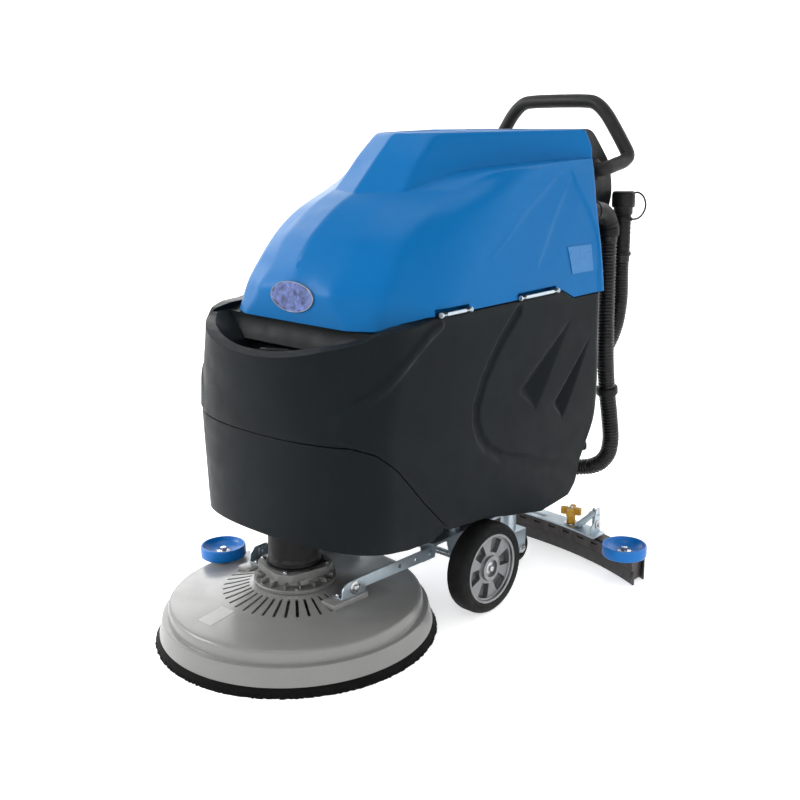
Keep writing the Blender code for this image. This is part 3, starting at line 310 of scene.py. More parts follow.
def make_looks():
    """Colour, roughness and its spread and scale, then mottling, grain, wear and dust."""
    brushed, upright = (0.15, 0.15, 1.0), (1.0, 1.0, 0.05)
    return {
        "blue": look_of(
            "hood_blue", (0.0002, 0.098, 0.282), 0.44, 0.05, 18.0, [(3.0, 0.05), (60.0, 0.02)],
            [((420.0, 3.0), (0.10,)), ((38.0, 2.0), (0.05, 0.0010))], coat=0.03, specular=0.08),
        "charcoal": look_of(
            "tank_charcoal", (0.0044, 0.0066, 0.0079), 0.44, 0.07, 24.0,
            [(5.0, 0.16), (140.0, 0.08)], [((900.0, 3.0), (0.28,)), ((70.0, 2.0), (0.05, 0.0008))],
            ((0.04, 0.045, 0.05), 0.30), ((0.05, 0.05, 0.047), 0.05), specular=0.06),
        "black": look_of(
            "moulded_black", (0.0050, 0.0052, 0.0056), 0.42, 0.07, 40.0, [(30.0, 0.20)],
            [((1100.0, 3.0), (0.22,))], ((0.05, 0.05, 0.052), 0.35), specular=0.15),
        "hose": look_of(
            "hose_black", (0.0045, 0.0045, 0.0050), 0.34, 0.08, 90.0, [(60.0, 0.25)],
            [((700.0, 3.0), (0.12,))], ((0.035, 0.035, 0.037), 0.5), specular=0.26),
        "grip": look_of(
            "grip_black", (0.0090, 0.0090, 0.0096), 0.50, 0.08, 60.0, [(50.0, 0.2)],
            [((1500.0, 4.0), (0.45,))], specular=0.20),
        "deck": look_of(
            "deck_grey", (0.150, 0.151, 0.147), 0.36, 0.07, 26.0, [(8.0, 0.05), (180.0, 0.03)],
            [((520.0, 3.0), (0.14,)), ((60.0, 2.0), (0.05, 0.0006))],
            ((0.26, 0.26, 0.25), 0.35), ((0.12, 0.115, 0.105), 0.30, 0.06, 0.015), coat=0.28),
        "cast": look_of(
            "cast_grey", (0.140, 0.143, 0.137), 0.50, 0.10, 70.0, [(40.0, 0.16), (300.0, 0.12)],
            [((650.0, 4.0), (0.5, 0.0006))], ((0.28, 0.28, 0.27), 0.5), metallic=0.40),
        "cast_dark": look_of(
            "cast_dark", (0.030, 0.025, 0.024), 0.48, 0.09, 60.0, [(35.0, 0.18)],
            [((650.0, 4.0), (0.45, 0.0006))], ((0.10, 0.09, 0.085), 0.5), metallic=0.25),
        "zinc": look_of(
            "zinc_plate", (0.40, 0.47, 0.52), 0.40, 0.09, 40.0, [(14.0, 0.05), (90.0, 0.03)],
            [((260.0, 3.0, brushed), (0.10, 0.0003))], ((0.52, 0.56, 0.60), 0.25), metallic=0.90),
        "steel": look_of(
            "bolt_steel", (0.42, 0.43, 0.44), 0.26, 0.10, 120.0, [(150.0, 0.15)],
            [((900.0, 3.0), (0.15, 0.0002))], ((0.8, 0.8, 0.8), 0.5), metallic=1.0),
        "rim": look_of(
            "rim_aluminium", (0.21, 0.215, 0.22), 0.38, 0.08, 50.0, [(60.0, 0.08)],
            [((800.0, 3.0), (0.22, 0.0003))], ((0.50, 0.50, 0.51), 0.4), metallic=0.90),
        "tyre": look_of(
            "tyre_rubber", (0.0048, 0.0050, 0.0054), 0.70, 0.08, 60.0, [(50.0, 0.20)],
            [((520.0, 4.0), (0.40,))], ((0.05, 0.05, 0.048), 0.5),
            ((0.10, 0.095, 0.085), 0.22, 0.16), specular=0.10),
        "blade": look_of(
            "blade_rubber", (0.032, 0.030, 0.030), 0.62, 0.08, 60.0, [(40.0, 0.18)],
            [((400.0, 3.0), (0.2,))], dusty=((0.12, 0.11, 0.10), 0.30, 0.03)),
        "roller": look_of(
            "roller_blue", (0.001, 0.118, 0.400), 0.36, 0.06, 50.0, [(30.0, 0.06)],
            [((600.0, 3.0), (0.15,))], ((0.10, 0.28, 0.68), 0.4), coat=0.12, specular=0.20),
        "knob": look_of(
            "knob_yellow", (0.430, 0.235, 0.020), 0.42, 0.07, 70.0, [(60.0, 0.10)],
            [((900.0, 3.0), (0.18,))], ((0.66, 0.46, 0.12), 0.5), specular=0.25),
        "bristle": look_of(
            "bristle_black", (0.0028, 0.0028, 0.0030), 0.60, 0.12, 200.0, [(300.0, 0.5)],
            [((1500.0, 2.0, upright), (0.5,))], specular=0.05),
        "motor": look_of(
            "motor_black", (0.0045, 0.0045, 0.0050), 0.42, 0.08, 50.0, [(40.0, 0.15)],
            [((500.0, 3.0), (0.2,))], ((0.09, 0.09, 0.09), 0.4), specular=0.14),
        "grey": look_of(
            "switch_grey", (0.075, 0.076, 0.080), 0.40, 0.06, 80.0, [(80.0, 0.10)],
            [((1200.0, 3.0), (0.15,))], ((0.16, 0.16, 0.165), 0.4)),
        "battery": look_of(
            "battery_grey", (0.055, 0.057, 0.062), 0.55, 0.07, 40.0, [(20.0, 0.12)],
            [((600.0, 3.0), (0.2,))], ((0.14, 0.14, 0.145), 0.4)),
        "film": look_of(
            "label_film", (0.50, 0.51, 0.51), 0.40, 0.05, 60.0, [(40.0, 0.05)],
            [((300.0, 2.0), (0.06,))], coat=0.1),
        "film_grey": look_of(
            "film_grey", (0.300, 0.300, 0.295), 0.42, 0.05, 60.0, [(50.0, 0.05)],
            [((300.0, 2.0), (0.06,))], coat=0.1),
        "badge": look_of(
            "badge_field", (0.070, 0.095, 0.230), 0.30, 0.04, 60.0, [(90.0, 0.75)],
            [((200.0, 2.0), (0.06,))], metallic=0.45),
        "lens": look_of(
            "display_lens", (0.020, 0.035, 0.030), 0.12, 0.03, 60.0, [(60.0, 0.10)], [], coat=0.8),
        "plate_blue": look_of(
            "plate_blue", (0.010, 0.128, 0.330), 0.30, 0.05, 40.0, [(30.0, 0.05)],
            [((250.0, 2.0), (0.06,))], coat=0.10, specular=0.25),
        "gap": look_of(
            "gap_black", (0.003, 0.003, 0.0035), 0.70, 0.05, 60.0, [(50.0, 0.2)],
            [((500.0, 2.0), (0.2,))]),
    }


# ---------------------------------------------------------------- shapes
def aimed(place, direction):
    """A frame at place whose Z runs along direction."""
    return Matrix.Translation(place) @ Vector(direction).to_track_quat("Z", "Y").to_matrix().to_4x4()


def curve_through(points, spacing):
    """Points on a smooth curve through the given ones, first and last included."""
    points = [Vector(p) for p in points]
    ends = [2 * points[0] - points[1], *points, 2 * points[-1] - points[-2]]
    route = []
    for before, start, end, after in zip(ends, ends[1:], ends[2:], ends[3:]):
        count = max(1, round((end - start).length / spacing))
        for i in range(count):
            t = i / count
            bend = (end - before) * t + (2 * before - 5 * start + 4 * end - after) * t**2
            bend += (3 * start - before - 3 * end + after) * t**3
            route.append(start + bend / 2)
    return [*route, points[-1]]


def evenly(points, spacing):
    """The same line with its points a fixed distance apart."""
    line = np.array([tuple(p) for p in points], float)
    along = np.concatenate([[0.0], np.cumsum(np.linalg.norm(np.diff(line, axis=0), axis=1))])
    count = max(2, round(along[-1] / spacing) + 1)
    at = np.linspace(0.0, along[-1], count)
    return [Vector([np.interp(s, along, line[:, k]) for k in range(3)]) for s in at], at


def rounded(outline, radius, steps=4):
    """A closed flat outline with its corners rounded."""
    made = []
    count = len(outline)
    for i in range(count):
        corner = Vector(outline[i])
        before = (Vector(outline[i - 1]) - corner)
        after = (Vector(outline[(i + 1) % count]) - corner)
        reach = min(radius, before.length * 0.45, after.length * 0.45)
        start = corner + before.normalized() * reach
        end = corner + after.normalized() * reach
        for k in range(steps + 1):
            t = k / steps
            made.append(tuple(start * (1 - t) ** 2 + corner * 2 * t * (1 - t) + end * t**2))
    return made


def plate_outline(half_width, low, high, radius):
    """The outline of a plate, centred on x = 0, with rounded corners."""
    return rounded([(-half_width, low), (half_width, low), (half_width, high), (-half_width, high)],
                   radius)


def bar_profile(radius, low, high):
    """The profile of a plain round bar."""
    return [(0.0, low), (radius, low), (radius, high), (0.0, high)]


def about_z(degrees):
    return Matrix.Rotation(math.radians(degrees), 4, "Z")


class Shape:
    """Points and faces gathered for one piece, measured from the deck's centre."""

    def __init__(self):
        self.points = []
        self.faces = []

    def add(self, points, faces, move=None):
        start = len(self.points)
        if move is not None:
            points = [move @ Vector(p) for p in points]
        self.points += [tuple(p) for p in points]
        self.faces += [tuple(i + start for i in face) for face in faces]
        return self

    def add_bmesh(self, mesh, move=None):
        mesh.verts.index_update()
        self.add([v.co.copy() for v in mesh.verts], [[v.index for v in f.verts] for f in mesh.faces],
                 move)
        mesh.free()
        return self

    def block(self, low, high, bevel=0.001, move=None, segments=2):
        mesh = bmesh.new()
        bmesh.ops.create_cube(mesh, size=1.0)
        size = Vector(high) - Vector(low)
        bmesh.ops.scale(mesh, vec=size, verts=mesh.verts)
        bmesh.ops.translate(mesh, vec=(Vector(low) + Vector(high)) / 2, verts=mesh.verts)
        if bevel:
            bmesh.ops.bevel(mesh, geom=mesh.edges[:], offset=min(bevel, min(size) * 0.45),
                            segments=segments, affect="EDGES", profile=0.5)
        return self.add_bmesh(mesh, move)

    def prism(self, outline, low, high, bevel=0.001, move=None, segments=2):
        """A flat outline raised from low to high along local Z."""
        mesh = bmesh.new()
        area = sum(a[0] * b[1] - b[0] * a[1] for a, b in zip(outline, outline[1:] + outline[:1]))
        if area < 0:
            outline = outline[::-1]
        base = [mesh.verts.new((x, y, low)) for x, y in outline]
        top = [mesh.verts.new((x, y, high)) for x, y in outline]
        lower, upper = mesh.faces.new(base[::-1]), mesh.faces.new(top)
        for i in range(len(base)):
            j = (i + 1) % len(base)
            mesh.faces.new((base[i], base[j], top[j], top[i]))
        if bevel:
            edges = list({*lower.edges, *upper.edges})
            bmesh.ops.bevel(mesh, geom=edges, offset=min(bevel, abs(high - low) * 0.45),
                            segments=segments, affect="EDGES", profile=0.5)
        return self.add_bmesh(mesh, move)

    def side(self, outline, low, high, bevel=0.001, segments=2):
        """An outline of (y, z) points, thick from x = low to x = high."""
        turn = Matrix(((0, 0, 1, 0), (1, 0, 0, 0), (0, 1, 0, 0), (0, 0, 0, 1)))
        return self.prism(list(outline), low, high, bevel, turn, segments)

    def lathe(self, profile, move=None, steps=64, closed=False):
        """A profile of (radius, height) turned round local Z."""
        points, faces, rows = [], [], []
        for radius, height in profile:
            if radius < 1e-6:
                rows.append([len(points)] * steps)
                points.append((0.0, 0.0, height))
            else:
                rows.append(list(range(len(points), len(points) + steps)))
                points += [(radius * math.cos(2 * math.pi * i / steps),
                            radius * math.sin(2 * math.pi * i / steps), height)
                           for i in range(steps)]
        pairs = list(zip(rows, rows[1:]))
        if closed:
            pairs.append((rows[-1], rows[0]))
        for lower, upper in pairs:
            for i in range(steps):
                j = (i + 1) % steps
                face = dict.fromkeys((lower[i], lower[j], upper[j], upper[i]))
                if len(face) > 2:
                    faces.append(tuple(face))
        return self.add(points, faces, move)

    def tube(self, route, radius, sides=20):
        """A round bar along a route; radius is a number or one for each point."""
        radii = [radius] * len(route) if isinstance(radius, float) else radius
        ahead = [(b - a).normalized() for a, b in zip(route, route[1:])]
        ahead = [ahead[0], *[(a + b).normalized() for a, b in zip(ahead, ahead[1:])], ahead[-1]]
        across = ahead[0].orthogonal().normalized()
        points, faces = [], []
        for spot, way, size in zip(route, ahead, radii):
            across = (across - way * across.dot(way)).normalized()
            other = way.cross(across)
            for i in range(sides):
                angle = 2 * math.pi * i / sides
                points.append(spot + (across * math.cos(angle) + other * math.sin(angle)) * size)
        for k in range(len(route) - 1):
            for i in range(sides):
                j = (i + 1) % sides
                faces.append((k * sides + i, k * sides + j, (k + 1) * sides + j,
                              (k + 1) * sides + i))
        faces += [tuple(range(sides))[::-1], tuple(range(len(points) - sides, len(points)))]
        return self.add(points, faces)

    def grid(self, rows, closed=True, caps=(False, False)):
        """A skin over rows of points that all have the same count."""
        count = len(rows[0])
        faces = []
        for k in range(len(rows) - 1):
            for i in range(count if closed else count - 1):
                j = (i + 1) % count
                faces.append((k * count + i, k * count + j, (k + 1) * count + j,
                              (k + 1) * count + i))
        if caps[0]:
            faces.append(tuple(range(count))[::-1])
        if caps[1]:
            faces.append(tuple(range((len(rows) - 1) * count, len(rows) * count)))
        return self.add([p for row in rows for p in row], faces)

    def bolt(self, place, direction, size, length=0.0):
        """A hexagon head on a washer, with some thread beyond the head."""
        move = aimed(place, direction)
        base = size * 0.32
        self.lathe([(0.0, 0.0), (size * 2.1, 0.0), (size * 2.2, size * 0.08),
                    (size * 2.2, size * 0.25), (size * 2.1, base), (0.0, base)], move, 28)
        head = [(size * 1.12 * math.cos(math.radians(60 * i)),
                 size * 1.12 * math.sin(math.radians(60 * i))) for i in range(6)]
        self.prism(head, base, base + size * 0.95, size * 0.14, move)
        if length:
            thread = [(0.0, base)]
            turns = max(2, round(length / (size * 0.25)))
            for i in range(turns):
                z = base + size * 0.9 + length * i / turns
                thread += [(size * 0.52, z), (size * 0.60, z + length / turns / 2)]
            thread += [(size * 0.45, base + size * 0.9 + length + 0.0005),
                       (0.0, base + size * 0.9 + length + 0.0005)]
            self.lathe(thread, move, 20)
        return self

    def make(self, name, look, body, slot, *stands_for, angle=38, ride=True):
        """The piece itself, in the row frame and on its body."""
        mesh = bpy.data.meshes.new(name)
        points = np.array([tuple(p) for p in self.points], float)
        points[:, 1] -= CENTRE_Y
        mesh.from_pydata(points.tolist(), [], self.faces)
        mesh.validate()
        obj = bpy.data.objects.new(name, mesh)
        bpy.context.scene.collection.objects.link(obj)
        tidy = bmesh.new()
        tidy.from_mesh(mesh)
        bmesh.ops.remove_doubles(tidy, verts=tidy.verts, dist=0.000002)
        bmesh.ops.recalc_face_normals(tidy, faces=tidy.faces)
        tidy.to_mesh(mesh)
        tidy.free()
        mesh.shade_smooth()
        mesh.set_sharp_from_angle(angle=math.radians(angle))
        mesh.materials.append(looks[look])
        if ride:
            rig.ride(obj, body)
        if stands_for:
            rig.replaces(obj, *stands_for)
        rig.slot(obj, slot)
        return obj


def carve(obj, other, operation="DIFFERENCE"):
    """Cut or join another piece, for good, and drop it."""
    step = obj.modifiers.new("carve", "BOOLEAN")
    step.operation = operation
    step.object = other
    step.solver = "EXACT"
    bpy.context.view_layer.update()
    seen = obj.evaluated_get(bpy.context.evaluated_depsgraph_get())
    mesh = bpy.data.meshes.new_from_object(seen)
    obj.modifiers.clear()
    old = obj.data
    obj.data = mesh
    bpy.data.meshes.remove(old)
    bpy.data.objects.remove(other, do_unlink=True)


def cutter(shape, name="cutter"):
    return shape.make(name, "gap", "chassis", "black_plastic", ride=False)


def cut_out(obj, look, *shapes):
    """Cut the shapes out, and give the new mesh its one material again."""
    for shape in shapes:
        carve(obj, cutter(shape))
    obj.data.materials.clear()
    obj.data.materials.append(looks[look])


def finish_cut(obj, look, angle, *shapes):
    """Cut the shapes out, then mark the new mesh's sharp edges."""
    cut_out(obj, look, *shapes)
    sharpen(obj, angle)


def sharpen(obj, angle):
    obj.data.shade_smooth()
    obj.data.set_sharp_from_angle(angle=math.radians(angle))


def dress(node, look):
    """A CAD node keeps its shape and gets small round edges and a material."""
    obj = frame["nodes"][node]
    mesh = obj.data
    if "custom_normal" in mesh.attributes:
        mesh.attributes.remove(mesh.attributes["custom_normal"])
    mesh.shade_smooth()
    weld = obj.modifiers.new("weld", "WELD")
    weld.merge_threshold = 0.00002
    edge = obj.modifiers.new("edges", "BEVEL")
    edge.width = 0.0008
    edge.segments = 2
    edge.limit_method = "ANGLE"
    edge.angle_limit = math.radians(35)
    edge.use_clamp_overlap = True
    obj.modifiers.new("even", "WEIGHTED_NORMAL")
    mesh.materials.clear()
    mesh.materials.append(looks[look])


# ---------------------------------------------------------------- hood
def eased(x, knots):
    """A smooth curve through (x, y) knots that never overshoots them."""
    xs, ys = np.array(knots, float).T
    step = np.diff(xs)
    slope = np.diff(ys) / step
    tangent = np.zeros(len(xs))
    for i in range(1, len(xs) - 1):
        if slope[i - 1] * slope[i] > 0:
            tangent[i] = 2 * slope[i - 1] * slope[i] / (slope[i - 1] + slope[i])
    tangent[0], tangent[-1] = slope[0], slope[-1]
    k = int(np.clip(np.searchsorted(xs, x) - 1, 0, len(step) - 1))
    t = float(np.clip((x - xs[k]) / step[k], 0.0, 1.0))
    return (ys[k] * (2 * t**3 - 3 * t**2 + 1) + ys[k + 1] * (3 * t**2 - 2 * t**3)
            + step[k] * (tangent[k] * (t**3 - 2 * t**2 + t) + tangent[k + 1] * (t**3 - t**2)))


def softened(corners, radii, counts):
    """A line through corners, each rounded, with a fixed number of points on every stretch."""
    made = []
    start = Vector(corners[0])
    for i in range(1, len(corners)):
        corner = Vector(corners[i])
        last = i == len(corners) - 1
        before = Vector(corners[i - 1]) - corner
        if last:
            end = corner
        else:
            after = Vector(corners[i + 1]) - corner
            reach = min(radii[i - 1], before.length * 0.45, after.length * 0.45)
            end = corner + before.normalized() * reach
            leave = corner + after.normalized() * reach
        count = counts[i - 1]
        made += [start.lerp(end, k / count) for k in range(count)]
        if last:
            made.append(end)
        else:
            made += [end * (1 - t) ** 2 + corner * 2 * t * (1 - t) + leave * t**2
                     for t in (k / 6 for k in range(6))]
            start = leave
    return made


def mirrored(half, z):
    """A whole ring from its +X half, which starts and ends on the middle plane."""
    return ([Vector((p.x, p.y, z)) for p in half]
            + [Vector((-p.x, p.y, z)) for p in half[-2:0:-1]])


def near_line(y, z, line):
    """Distance to a line of (y, z) points, and the side: positive behind it."""
    best, sign = 1.0, 1.0
    spot = Vector((y, z))
    for a, b in zip(line, line[1:]):
        a, b = Vector(a), Vector(b)
        way = b - a
        t = min(1.0, max(0.0, (spot - a).dot(way) / way.length_squared))
        gap = spot - (a + way * t)
        if gap.length < best:
            best = gap.length
            sign = 1.0 if way.x * gap.y - way.y * gap.x > 0 else -1.0
    return best, sign


def smooth_step(value, low, high):
    t = min(1.0, max(0.0, (value - low) / (high - low)))
    return t * t * (3 - 2 * t)


SHOULDER = (
    # height, ridge, front facet, shoulder corner, side, rear corner
    (0.645, 0.018, (0.150, 0.019), (0.206, 0.048), (0.262, 0.135), (0.265, 0.722)),
    (0.700, 0.020, (0.105, 0.022), (0.200, 0.068), (0.259, 0.165), (0.262, 0.718)),
    (0.750, 0.031, (0.100, 0.060), (0.193, 0.099), (0.254, 0.210), (0.258, 0.714)),
    (0.800, 0.066, (0.100, 0.096), (0.186, 0.140), (0.248, 0.260), (0.252, 0.710)),
    (0.830, 0.101, (0.098, 0.130), (0.179, 0.173), (0.244, 0.290), (0.249, 0.707)),
    (0.850, 0.128, (0.096, 0.156), (0.174, 0.204), (0.242, 0.312), (0.247, 0.705)),
    (0.865, 0.152, (0.094, 0.180), (0.170, 0.236), (0.242, 0.330), (0.246, 0.704)),
    (0.880, 0.182, (0.092, 0.210), (0.168, 0.274), (0.241, 0.352), (0.245, 0.703)),
    (0.889, 0.208, (0.092, 0.236), (0.169, 0.300), (0.241, 0.370), (0.244, 0.702)),
    (0.900, 0.245, (0.094, 0.268), (0.177, 0.326), (0.2405, 0.392), (0.243, 0.701)),
    (0.915, 0.305, (0.100, 0.315), (0.195, 0.364), (0.2405, 0.430), (0.242, 0.700)),
    (0.925, 0.370, (0.110, 0.374), (0.214, 0.398), (0.2400, 0.460), (0.240, 0.699)),
    (0.932, 0.470, (0.120, 0.472), (0.228, 0.478), (0.2395, 0.530), (0.2395, 0.6985)),
    (0.936, 0.560, (0.125, 0.562), (0.234, 0.566), (0.2395, 0.605), (0.239, 0.698)),
    (0.938, 0.630, (0.125, 0.632), (0.236, 0.636), (0.2392, 0.658), (0.239, 0.698)),
)
NECK = (
    # height, ridge, neck corner, then the side line back to the rear corner
    (0.860, 0.170, (0.100, 0.206), (0.130, 0.320), (0.174, 0.480), (0.202, 0.565), (0.218, 0.620),
     (0.234, 0.6955)),
    (0.893, 0.202, (0.098, 0.238), (0.127, 0.322), (0.176, 0.482), (0.203, 0.568), (0.218, 0.622),
     (0.235, 0.6960)),
    (0.925, 0.235, (0.094, 0.268), (0.120, 0.335), (0.170, 0.484), (0.200, 0.574), (0.217, 0.628),
     (0.236, 0.6965)),
    (0.950, 0.261, (0.091, 0.290), (0.114, 0.360), (0.160, 0.484), (0.195, 0.582), (0.215, 0.638),
     (0.236, 0.6970)),
    (1.000, 0.315, (0.084, 0.345), (0.112, 0.412), (0.140, 0.480), (0.172, 0.560), (0.195, 0.620),
     (0.222, 0.6900)),
)
BAND_EDGE = ((0.600, 0.940), (0.611, 0.923), (0.634, 0.883), (0.671, 0.834), (0.711, 0.760),
             (0.725, 0.735))
HOOD_CREASES = (((0.554, 0.900), (0.328, 0.764)), ((0.589, 0.871), (0.496, 0.755)))


def table_at(table, z):
    """A table's row at any height: each number follows its own smooth curve."""
    flat = [[row[0], row[1], *(value for pair in row[2:] for value in pair)] for row in table]
    values = [eased(z, [(row[0], row[k]) for row in flat]) for k in range(1, len(flat[0]))]
    return values[0], list(zip(values[1::2], values[2::2]))


def hood_relief(point):
    """How far the side panel lies inside the plain loft."""
    if abs(point.x) < 0.19 or point.y > 0.70:
        return 0.0
    away, side = near_line(point.y, point.z, BAND_EDGE)
    depth = 0.0
    if side < 0:
        depth = 0.0034 * smooth_step(away, 0.0, 0.007) * (1 - smooth_step(away, 0.10, 0.30))
    for line in HOOD_CREASES:
        away, side = near_line(point.y, point.z, line)
        depth += 0.0013 * side * smooth_step(away, 0.0, 0.006) * (
            1 - smooth_step(away, 0.006, 0.060))
    return depth * (1 - smooth_step(point.z, 0.905, 0.925))


def hood_rows():
    rows = []
    heights = [0.645 + 0.0045 * i for i in range(51)] + [0.8745 + 0.0022 * i for i in range(29)]
    for z in [*heights, 0.938]:
        ridge, (facet, corner, side, rear) = table_at(SHOULDER, z)
        half = softened([(0.0, ridge), facet, corner, side, rear, (0.0, rear[1])],
                        (0.012, 0.022, 0.060, 0.012), (9, 9, 10, 78, 12))
        ring = mirrored(half, z)
        for point in ring:
            point.x -= math.copysign(hood_relief(point), point.x)
        rows.append(ring)
    return rows


def drawn_in(ring, distance):
    """A ring moved inwards in plan."""
    made = []
    count = len(ring)
    for i, point in enumerate(ring):
        way = ring[(i + 1) % count] - ring[i - 1]
        made.append(point + Vector((-way.y, way.x, 0.0)).normalized() * distance)
    return made


def neck_rows():
    rows = []
    heights = [0.860 + 0.004 * i for i in range(34)]
    edge = ((0.9945, 0.0004), (0.9967, 0.0014), (0.9984, 0.0030), (0.9995, 0.0052), (1.0, 0.0078))
    for z, inset in [*((height, 0.0) for height in heights), *edge]:
        ridge, line = table_at(NECK, z)
        half = softened([(0.0, ridge), *line, (0.0, line[-1][1])],
                        (0.016, 0.040, 0.040, 0.030, 0.030, 0.006), (10, 8, 14, 10, 8, 10, 12))
        rows.append(drawn_in(mirrored(half, z), inset))
    return rows


HINGE_SPANS = ((0.156, 0.242), (0.402, 0.531))


def make_hood():
    """The lofted hood and its raised neck, hollowed for water, with its flap and the seal."""
    hood = Shape().grid(hood_rows(), caps=(True, True)).make(
        "recovery_tank_skin", "blue", "hood", "blue_hood", "recovery_tank")
    neck = cutter(Shape().grid(neck_rows(), caps=(True, True)), "neck")
    carve(hood, neck, "UNION")
    under = [(-0.100, 0.600), (-0.100, 0.6475), (0.0455, 0.6475), (0.090, 0.6605),
             (0.135, 0.668), (0.5605, 0.668), (0.6005, 0.6475), (0.800, 0.6475), (0.800, 0.600)]
    cuts = [Shape().side(under, -0.30, 0.30, 0.0),
            Shape().prism(plate_outline(0.083, 0.432, 0.643, 0.02), 0.700, 1.02, 0.0),
            Shape().prism(plate_outline(0.19, 0.25, 0.68, 0.03), 0.680, 0.820, 0.012),
            Shape().block((-0.0965, 0.4185, 0.9925), (0.0965, 0.6565, 1.02), 0.0)]
    for start, end in HINGE_SPANS:
        cuts.append(Shape().block((0.236, start - 0.004, 0.600), (0.300, end + 0.004, 0.681),
                                  0.002))
    finish_cut(hood, "blue", 30, *cuts)
    lid = Shape().prism(plate_outline(0.094, 0.421, 0.654, 0.012), 0.9932, 0.9985, 0.0018)
    lid.prism(plate_outline(0.078, 0.437, 0.638, 0.016), 0.9980, 0.9995, 0.0007)
    lid.make("tank_lid_skin", "blue", "tank_lid", "blue_hood", "tank_lid")
    seal = Shape().prism(plate_outline(0.080, 0.435, 0.640, 0.018), 0.9926, 0.9934, 0.0)
    seal.make("tank_lid_seal", "grip", "tank_lid", "black_plastic")


def make_badge():
    """A blank oval badge with a raised rim on the hood's front facet."""
    lean = Matrix.Translation((0.0, 0.0196, 0.697)) @ Matrix.Rotation(math.radians(87), 4, "X")
    wide = Matrix.Diagonal((0.062, 0.030, 1.0, 1.0))
    plate = Shape().lathe([(0.0, -0.001), (0.96, -0.001), (0.96, 0.0012), (0.55, 0.0016),
                           (0.0, 0.0018)], lean @ wide, 96)
    plate.make("badge_field", "badge", "hood", "badge_silver", "front_badge")
    rim = Shape().lathe([(0.95, -0.001), (1.0, -0.001), (1.0, 0.0012), (0.990, 0.0020),
                         (0.960, 0.0020), (0.95, 0.0012)], lean @ wide, 96, closed=True)
    rim.make("badge_rim", "rim", "hood", "badge_silver")


def thin_sheet(rows, drop):
    """A thin closed sheet: the rows on one face, and the same rows moved by drop on the other."""
    under = [[p + Vector(drop) for p in row] for row in rows]
    sheet = Shape().grid(rows, closed=False).grid(under, closed=False)
    for a, b in ((rows[0], under[0]), (rows[-1], under[-1])):
        sheet.grid([a, b], closed=False)
    for k in (0, -1):
        sheet.grid([[row[k] for row in rows], [row[k] for row in under]], closed=False)
    return sheet


def hood_side_x(y, z):
    """The hood's +X wall at a height, with its relief."""
    _, (_, _, side, rear) = table_at(SHOULDER, z)
    t = (y - side[1]) / (rear[1] - side[1])
    x = side[0] + (rear[0] - side[0]) * t
    return x - hood_relief(Vector((x, y, z)))


def make_hood_labels():
    """A thin blank plate on the side wall, its corners given as (y, z)."""
    low, low_end, high_end, high = (
        Vector(corner) for corner in ((0.583, 0.757), (0.672, 0.755), (0.676, 0.697), (0.596, 0.698)))
    rows = []
    for i in range(9):
        start, end = low.lerp(low_end, i / 8), high.lerp(high_end, i / 8)
        spots = [start.lerp(end, k / 8) for k in range(9)]
        rows.append([Vector((hood_side_x(y, z) + 0.0010, y, z)) for y, z in spots])
    thin_sheet(rows, (0.0006, 0.0, 0.0)).make("hood_side_plate", "plate_blue", "hood",
                                              "blue_hood")


# ---------------------------------------------------------------- tank and front shell
BODY = (
    # height, half width, middle and depth of the front curve
    (0.150, 0.241, 0.040, 0.148), (0.215, 0.248, 0.040, 0.150), (0.330, 0.258, 0.034, 0.138),
    (0.440, 0.264, 0.030, 0.130), (0.560, 0.262, 0.060, 0.160), (0.640, 0.262, 0.088, 0.188),
    (0.670, 0.265, 0.088, 0.188),
)
SIDE_END, REAR_CORNER = 0.690, 0.035
SEAM = ((-0.200, 0.452), (-0.047, 0.448), (-0.013, 0.433), (0.038, 0.390), (0.118, 0.303),
        (0.200, 0.222))
TANK_LOW = (*SEAM, (0.325, 0.212), (0.394, 0.195), (0.523, 0.1685), (0.586, 0.175),
            (0.626, 0.180), (0.648, 0.206), (0.655, 0.257), (0.701, 0.354), (0.716, 0.415),
            (0.7265, 0.424))
TANK_HIGH = ((-0.200, 0.590), (-0.100, 0.604), (-0.080, 0.616), (-0.062, 0.625), (-0.042, 0.632),
             (-0.014, 0.640), (0.008, 0.652), (0.048, 0.6585), (0.090, 0.6595), (0.135, 0.6655),
             (0.560, 0.6655), (0.600, 0.645), (0.7265, 0.645))
SHELL_LOW = ((-0.200, 0.265), (-0.112, 0.251), (-0.033, 0.234), (0.079, 0.216), (0.151, 0.213),
             (0.189, 0.229))
CLAWS = (
    # tip, left, bottom and the deepest point
    ((0.598, 0.607), (0.407, 0.475), (0.465, 0.422), (0.442, 0.472)),
    ((0.672, 0.553), (0.531, 0.421), (0.567, 0.382), (0.557, 0.425)),
)
GROOVE = ((0.403, 0.647), (0.338, 0.583), (0.291, 0.522), (0.266, 0.472), (0.264, 0.435),
          (0.280, 0.400), (0.306, 0.372), (0.355, 0.341), (0.450, 0.312), (0.560, 0.280),
          (0.640, 0.260))
RIB = ((0.157, 0.651), (0.125, 0.635), (0.070, 0.598), (0.015, 0.558), (-0.022, 0.534),
       (-0.043, 0.518), (-0.054, 0.495), (-0.057, 0.470), (-0.057, 0.450))


def in_triangle(spot, a, b, c, value):
    """value at corner c and nothing at a and b, or None outside."""
    a, b, c = Vector(a), Vector(b), Vector(c)
    area = (b - a).cross(c - a)
    share = (b - a).cross(spot - a) / area
    first = (c - b).cross(spot - b) / area
    second = (a - c).cross(spot - c) / area
    if min(share, first, second) < 0:
        return None
    return value * share


